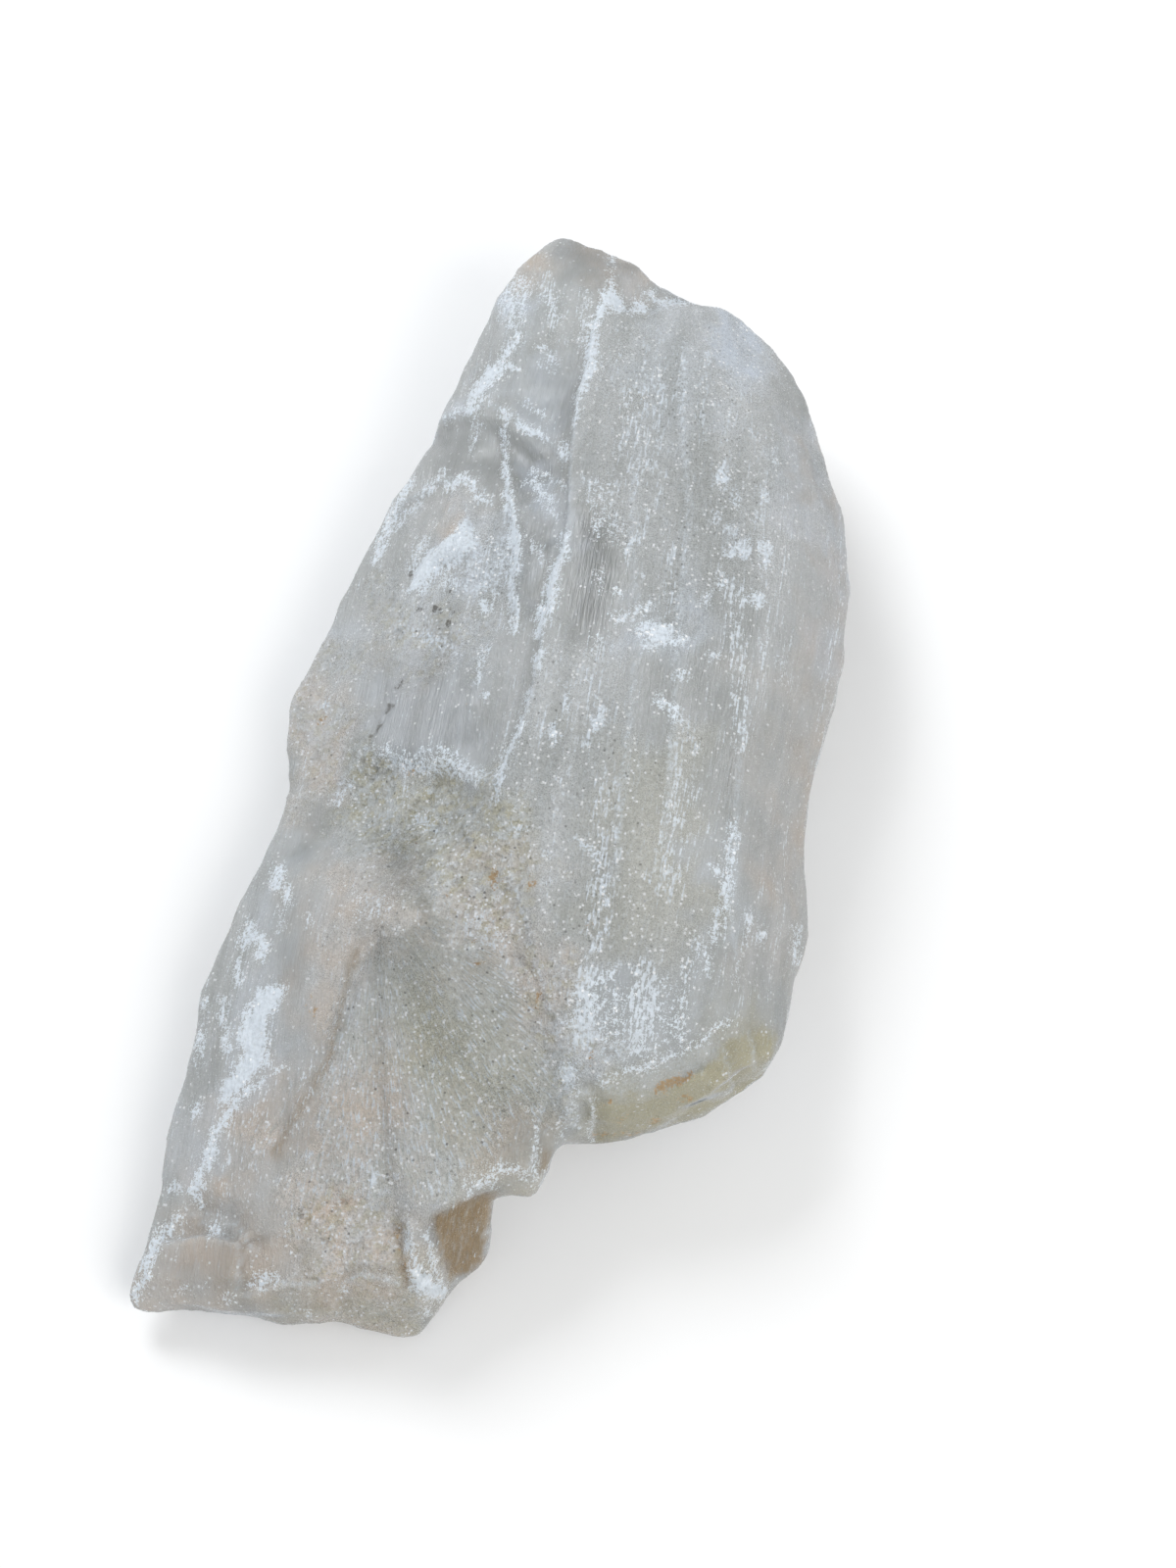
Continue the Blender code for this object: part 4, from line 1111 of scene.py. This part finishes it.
highlight_breakup = plus(times(crumbs, 1.2), 0.45, clamp=True)
tan_lines = plus(painted("tan"), times(times(painted("tan"), lines), 0.9), clamp=True)
lined_part = plus(painted("feather"), plus(times(painted("wall"), -0.2), 0.35))
body = mixed(painted("cloudy"), MILKY_GREY, PALE_GREY)
for share, colour in (
    (times(painted("clear"), 0.45), CLEAR_GREY),
    (painted("greenish"), GREEN_GREY),
    (painted("warm"), PINK_BEIGE),
    (painted("haze_and_reflections"), HAZE_AND_REFLECTION_BLUE),
    # Painted shade at the foot of ledges and in shadowed gaps.
    (times(painted("painted_shade"), 0.36), PAINTED_SHADE_GREY),
    # Painted highlights on ledge edges and on the bevel.
    (times(painted("edges"), highlight_breakup), FROST_AND_HIGHLIGHT_WHITE),
    (tan_lines, TAN_BROWN),
    (times(between(lines, *LIGHT_LINES), times(lined_part, 0.65)), FROST_AND_HIGHLIGHT_WHITE),
    (times(between(lines, *DARK_LINES), times(lined_part, 0.5)), CLEAR_GREY),
    (times(between(chip_white, *WHITE_CHIPS), times(painted("broken"), 0.3)), FROST_AND_HIGHLIGHT_WHITE),
    (times(between(chip_green, *GREEN_CHIPS), times(painted("broken"), 0.5)), GREEN_GREY),
    (times(between(crumbs, *CRUMB_TOPS), times(painted("broken"), 0.4)), FROST_AND_HIGHLIGHT_WHITE),
    # Painted shade in the gaps between crumbs.
    (times(between(crumbs, *CRUMB_GAPS), times(painted("broken"), 0.4)), PAINTED_SHADE_GREY),
):
    body = mixed(share, body, colour)

# Sugar: crumbs and tiny facets painted lighter and darker, painted light and shade on the grain.
grainy = plus(times(painted("sugary"), 0.55), 0.05)
sugar_light_and_shade = plus(plus(times(crumbs, 0.45), times(fine_grain, 0.35)), times(facet_shade, 0.3))
body = scaled(mix_tree, body, plus(times(grainy, sugar_light_and_shade), 0.96))

# On top: frost with its painted sky reflections, painted glints, rust, and dark pits and flecks.
GLINT_STEP = (0.988, 0.992)
FLECK_STEP = (0.992, 0.994)
RUST_STEP = (0.45, 0.62)
PIT_STEP = (0.5, 0.6)
FROST_SHADE_STEP = (-0.35, 0.3)

# Painted glints: sparse white specks in the colour that stand in for sparkle on the tiny facets.
sparkling = plus(facet_glint, times(painted("sugary"), 0.03))
glints = times(between(sparkling, *GLINT_STEP), no_tan)
rusted = between(plus(painted("rusty"), times(crumbs, 0.9)), *RUST_STEP)
pitted = between(plus(painted("dark"), times(crumbs, 0.4)), *PIT_STEP)
fleck = times(between(facet_fleck, *FLECK_STEP), painted("sugary"))
frost_and_reflection_colour = mixed(between(crumbs, *FROST_SHADE_STEP), FROST_SHADE, FROST_AND_HIGHLIGHT_WHITE)
colour = body
for share, over in (
    (white, frost_and_reflection_colour),
    (glints, GLINT_WHITE),
    (times(rusted, 0.85), RUST),
    (plus(times(pitted, 0.85), times(fleck, 0.7), clamp=True), NEARLY_BLACK),
):
    colour = mixed(share, colour, over)
mix_tree.links.new(colour, shader.inputs["Base Color"])

# Light passes least where the stone is covered by frost, rust or dirt.
SEE_THROUGH = 0.4
ROUGHNESS = 0.18

cover = larger(white, plus(times(rusted, 0.8), pitted, clamp=True))
thin = plus(SEE_THROUGH, plus(times(painted("clear"), 0.4), times(painted("sugary"), -0.15)))
thin = plus(thin, times(painted("haze_and_reflections"), -0.2))
mix_tree.links.new(times(thin, rest_of(times(cover, 0.85))), shader.inputs["Transmission Weight"])
rough = plus(ROUGHNESS, plus(times(painted("clear"), -0.1), times(painted("sugary"), 0.2)))
rough = plus(rough, plus(times(cover, 0.3), times(fine_grain, 0.15)), clamp=True)
mix_tree.links.new(rough, shader.inputs["Roughness"])

# Relief too fine for the mesh: sugary crumbs, and lines that are strongest on the fan and the wall.
lined = plus(0.5, times(plus(painted("feather"), painted("wall")), 0.6))
lined = times(lined, rest_of(painted("clear")))
height = plus(times(painted("sugary"), times(crumbs, 1.1)), times(lines, lined))
bump = node(mix_tree, "ShaderNodeBump", {"Height": height, "Strength": 1.0, "Distance": BUMP_HEIGHT})
mix_tree.links.new(bump.outputs[0], shader.inputs["Normal"])

for name, value in {
    "IOR": SELENITE_IOR, "Subsurface Weight": SCATTERED, "Subsurface Radius": SCATTER_REACH,
    "Subsurface Scale": SCATTER_DEPTH,
}.items():
    shader.inputs[name].default_value = value
inside = node(mix_tree, "ShaderNodeVolumeAbsorption", {"Color": DIMMED_TO, "Density": DIMMING_PER_M})
mix_tree.links.new(inside.outputs[0], mix_tree.nodes["Material Output"].inputs["Volume"])

surface = stone.modifiers.new("surface", "NODES")
surface.node_group = surface_tree()
for item in surface.node_group.interface.items_tree:
    if item.in_out == "INPUT" and item.name in SURFACE_SIZES:
        surface[item.identifier] = SURFACE_SIZES[item.name]
    if item.in_out == "INPUT" and item.name == "Material":
        surface[item.identifier] = selenite
settle(stone)

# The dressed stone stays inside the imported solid's box, and its back stays flat.
inside_box = np.clip(triples(stone.data.vertices, "co"), *np.array(cad_box))
stone.data.vertices.foreach_set("co", inside_box.astype(np.float32).ravel())
stone.data.update()
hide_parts("selenite_blade")
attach(stone, "root")

# The floor.
# A plain pale tabletop that the stone lies on.

FLOOR_SIZE = 6
PAPER_GREY = (0.86, 0.86, 0.86, 1)
PAPER_ROUGHNESS = 0.9

bpy.ops.mesh.primitive_plane_add(size=FLOOR_SIZE)
floor = bpy.context.object
floor.name = "floor"
paper = bpy.data.materials.new("pale_paper")
paper.use_nodes = True
paper.node_tree.nodes["Principled BSDF"].inputs["Base Color"].default_value = PAPER_GREY
paper.node_tree.nodes["Principled BSDF"].inputs["Roughness"].default_value = PAPER_ROUGHNESS
floor.data.materials.append(paper)

# The light.
# A pale room, a soft lamp over the far left, and a broader one over the near right.

ROOM_TINT = (0.96, 0.98, 1.0, 1)
ROOM_STRENGTH = 0.62

room = bpy.data.worlds.new("pale_room")
room.use_nodes = True
room.node_tree.nodes["Background"].inputs["Color"].default_value = ROOM_TINT
room.node_tree.nodes["Background"].inputs["Strength"].default_value = ROOM_STRENGTH
bpy.context.scene.world = room

# Place in metres, width in metres, watts, tint.
LAMPS = {
    "window": ((-0.55, 0.45, 0.75), 0.45, 5.8, (0.96, 0.98, 1.0)),
    "fill": ((0.7, -0.45, 0.7), 0.7, 6.2, (1.0, 0.98, 0.95)),
}
for name, (spot, size, watts, tint) in LAMPS.items():
    lamp = bpy.data.objects.new(name, bpy.data.lights.new(name, "AREA"))
    lamp.data.size = size
    lamp.data.energy = watts
    lamp.data.color = tint
    lamp.location = spot
    lamp.rotation_euler = (AIM - Vector(spot)).to_track_quat("-Z", "Y").to_euler()
    bpy.context.scene.collection.objects.link(lamp)

bpy.context.scene.view_settings.view_transform = "Standard"

# The camera.
# It stands where the stone is seen from.

LENS_MM = 50
SENSOR_MM = 36

camera = bpy.data.objects.new("camera", bpy.data.cameras.new("camera"))
camera.data.lens = LENS_MM
camera.data.sensor_width = SENSOR_MM
camera.matrix_world = Matrix.Translation(eye) @ Matrix((right, up, -forward)).transposed().to_4x4()
bpy.context.scene.collection.objects.link(camera)
bpy.context.scene.camera = camera
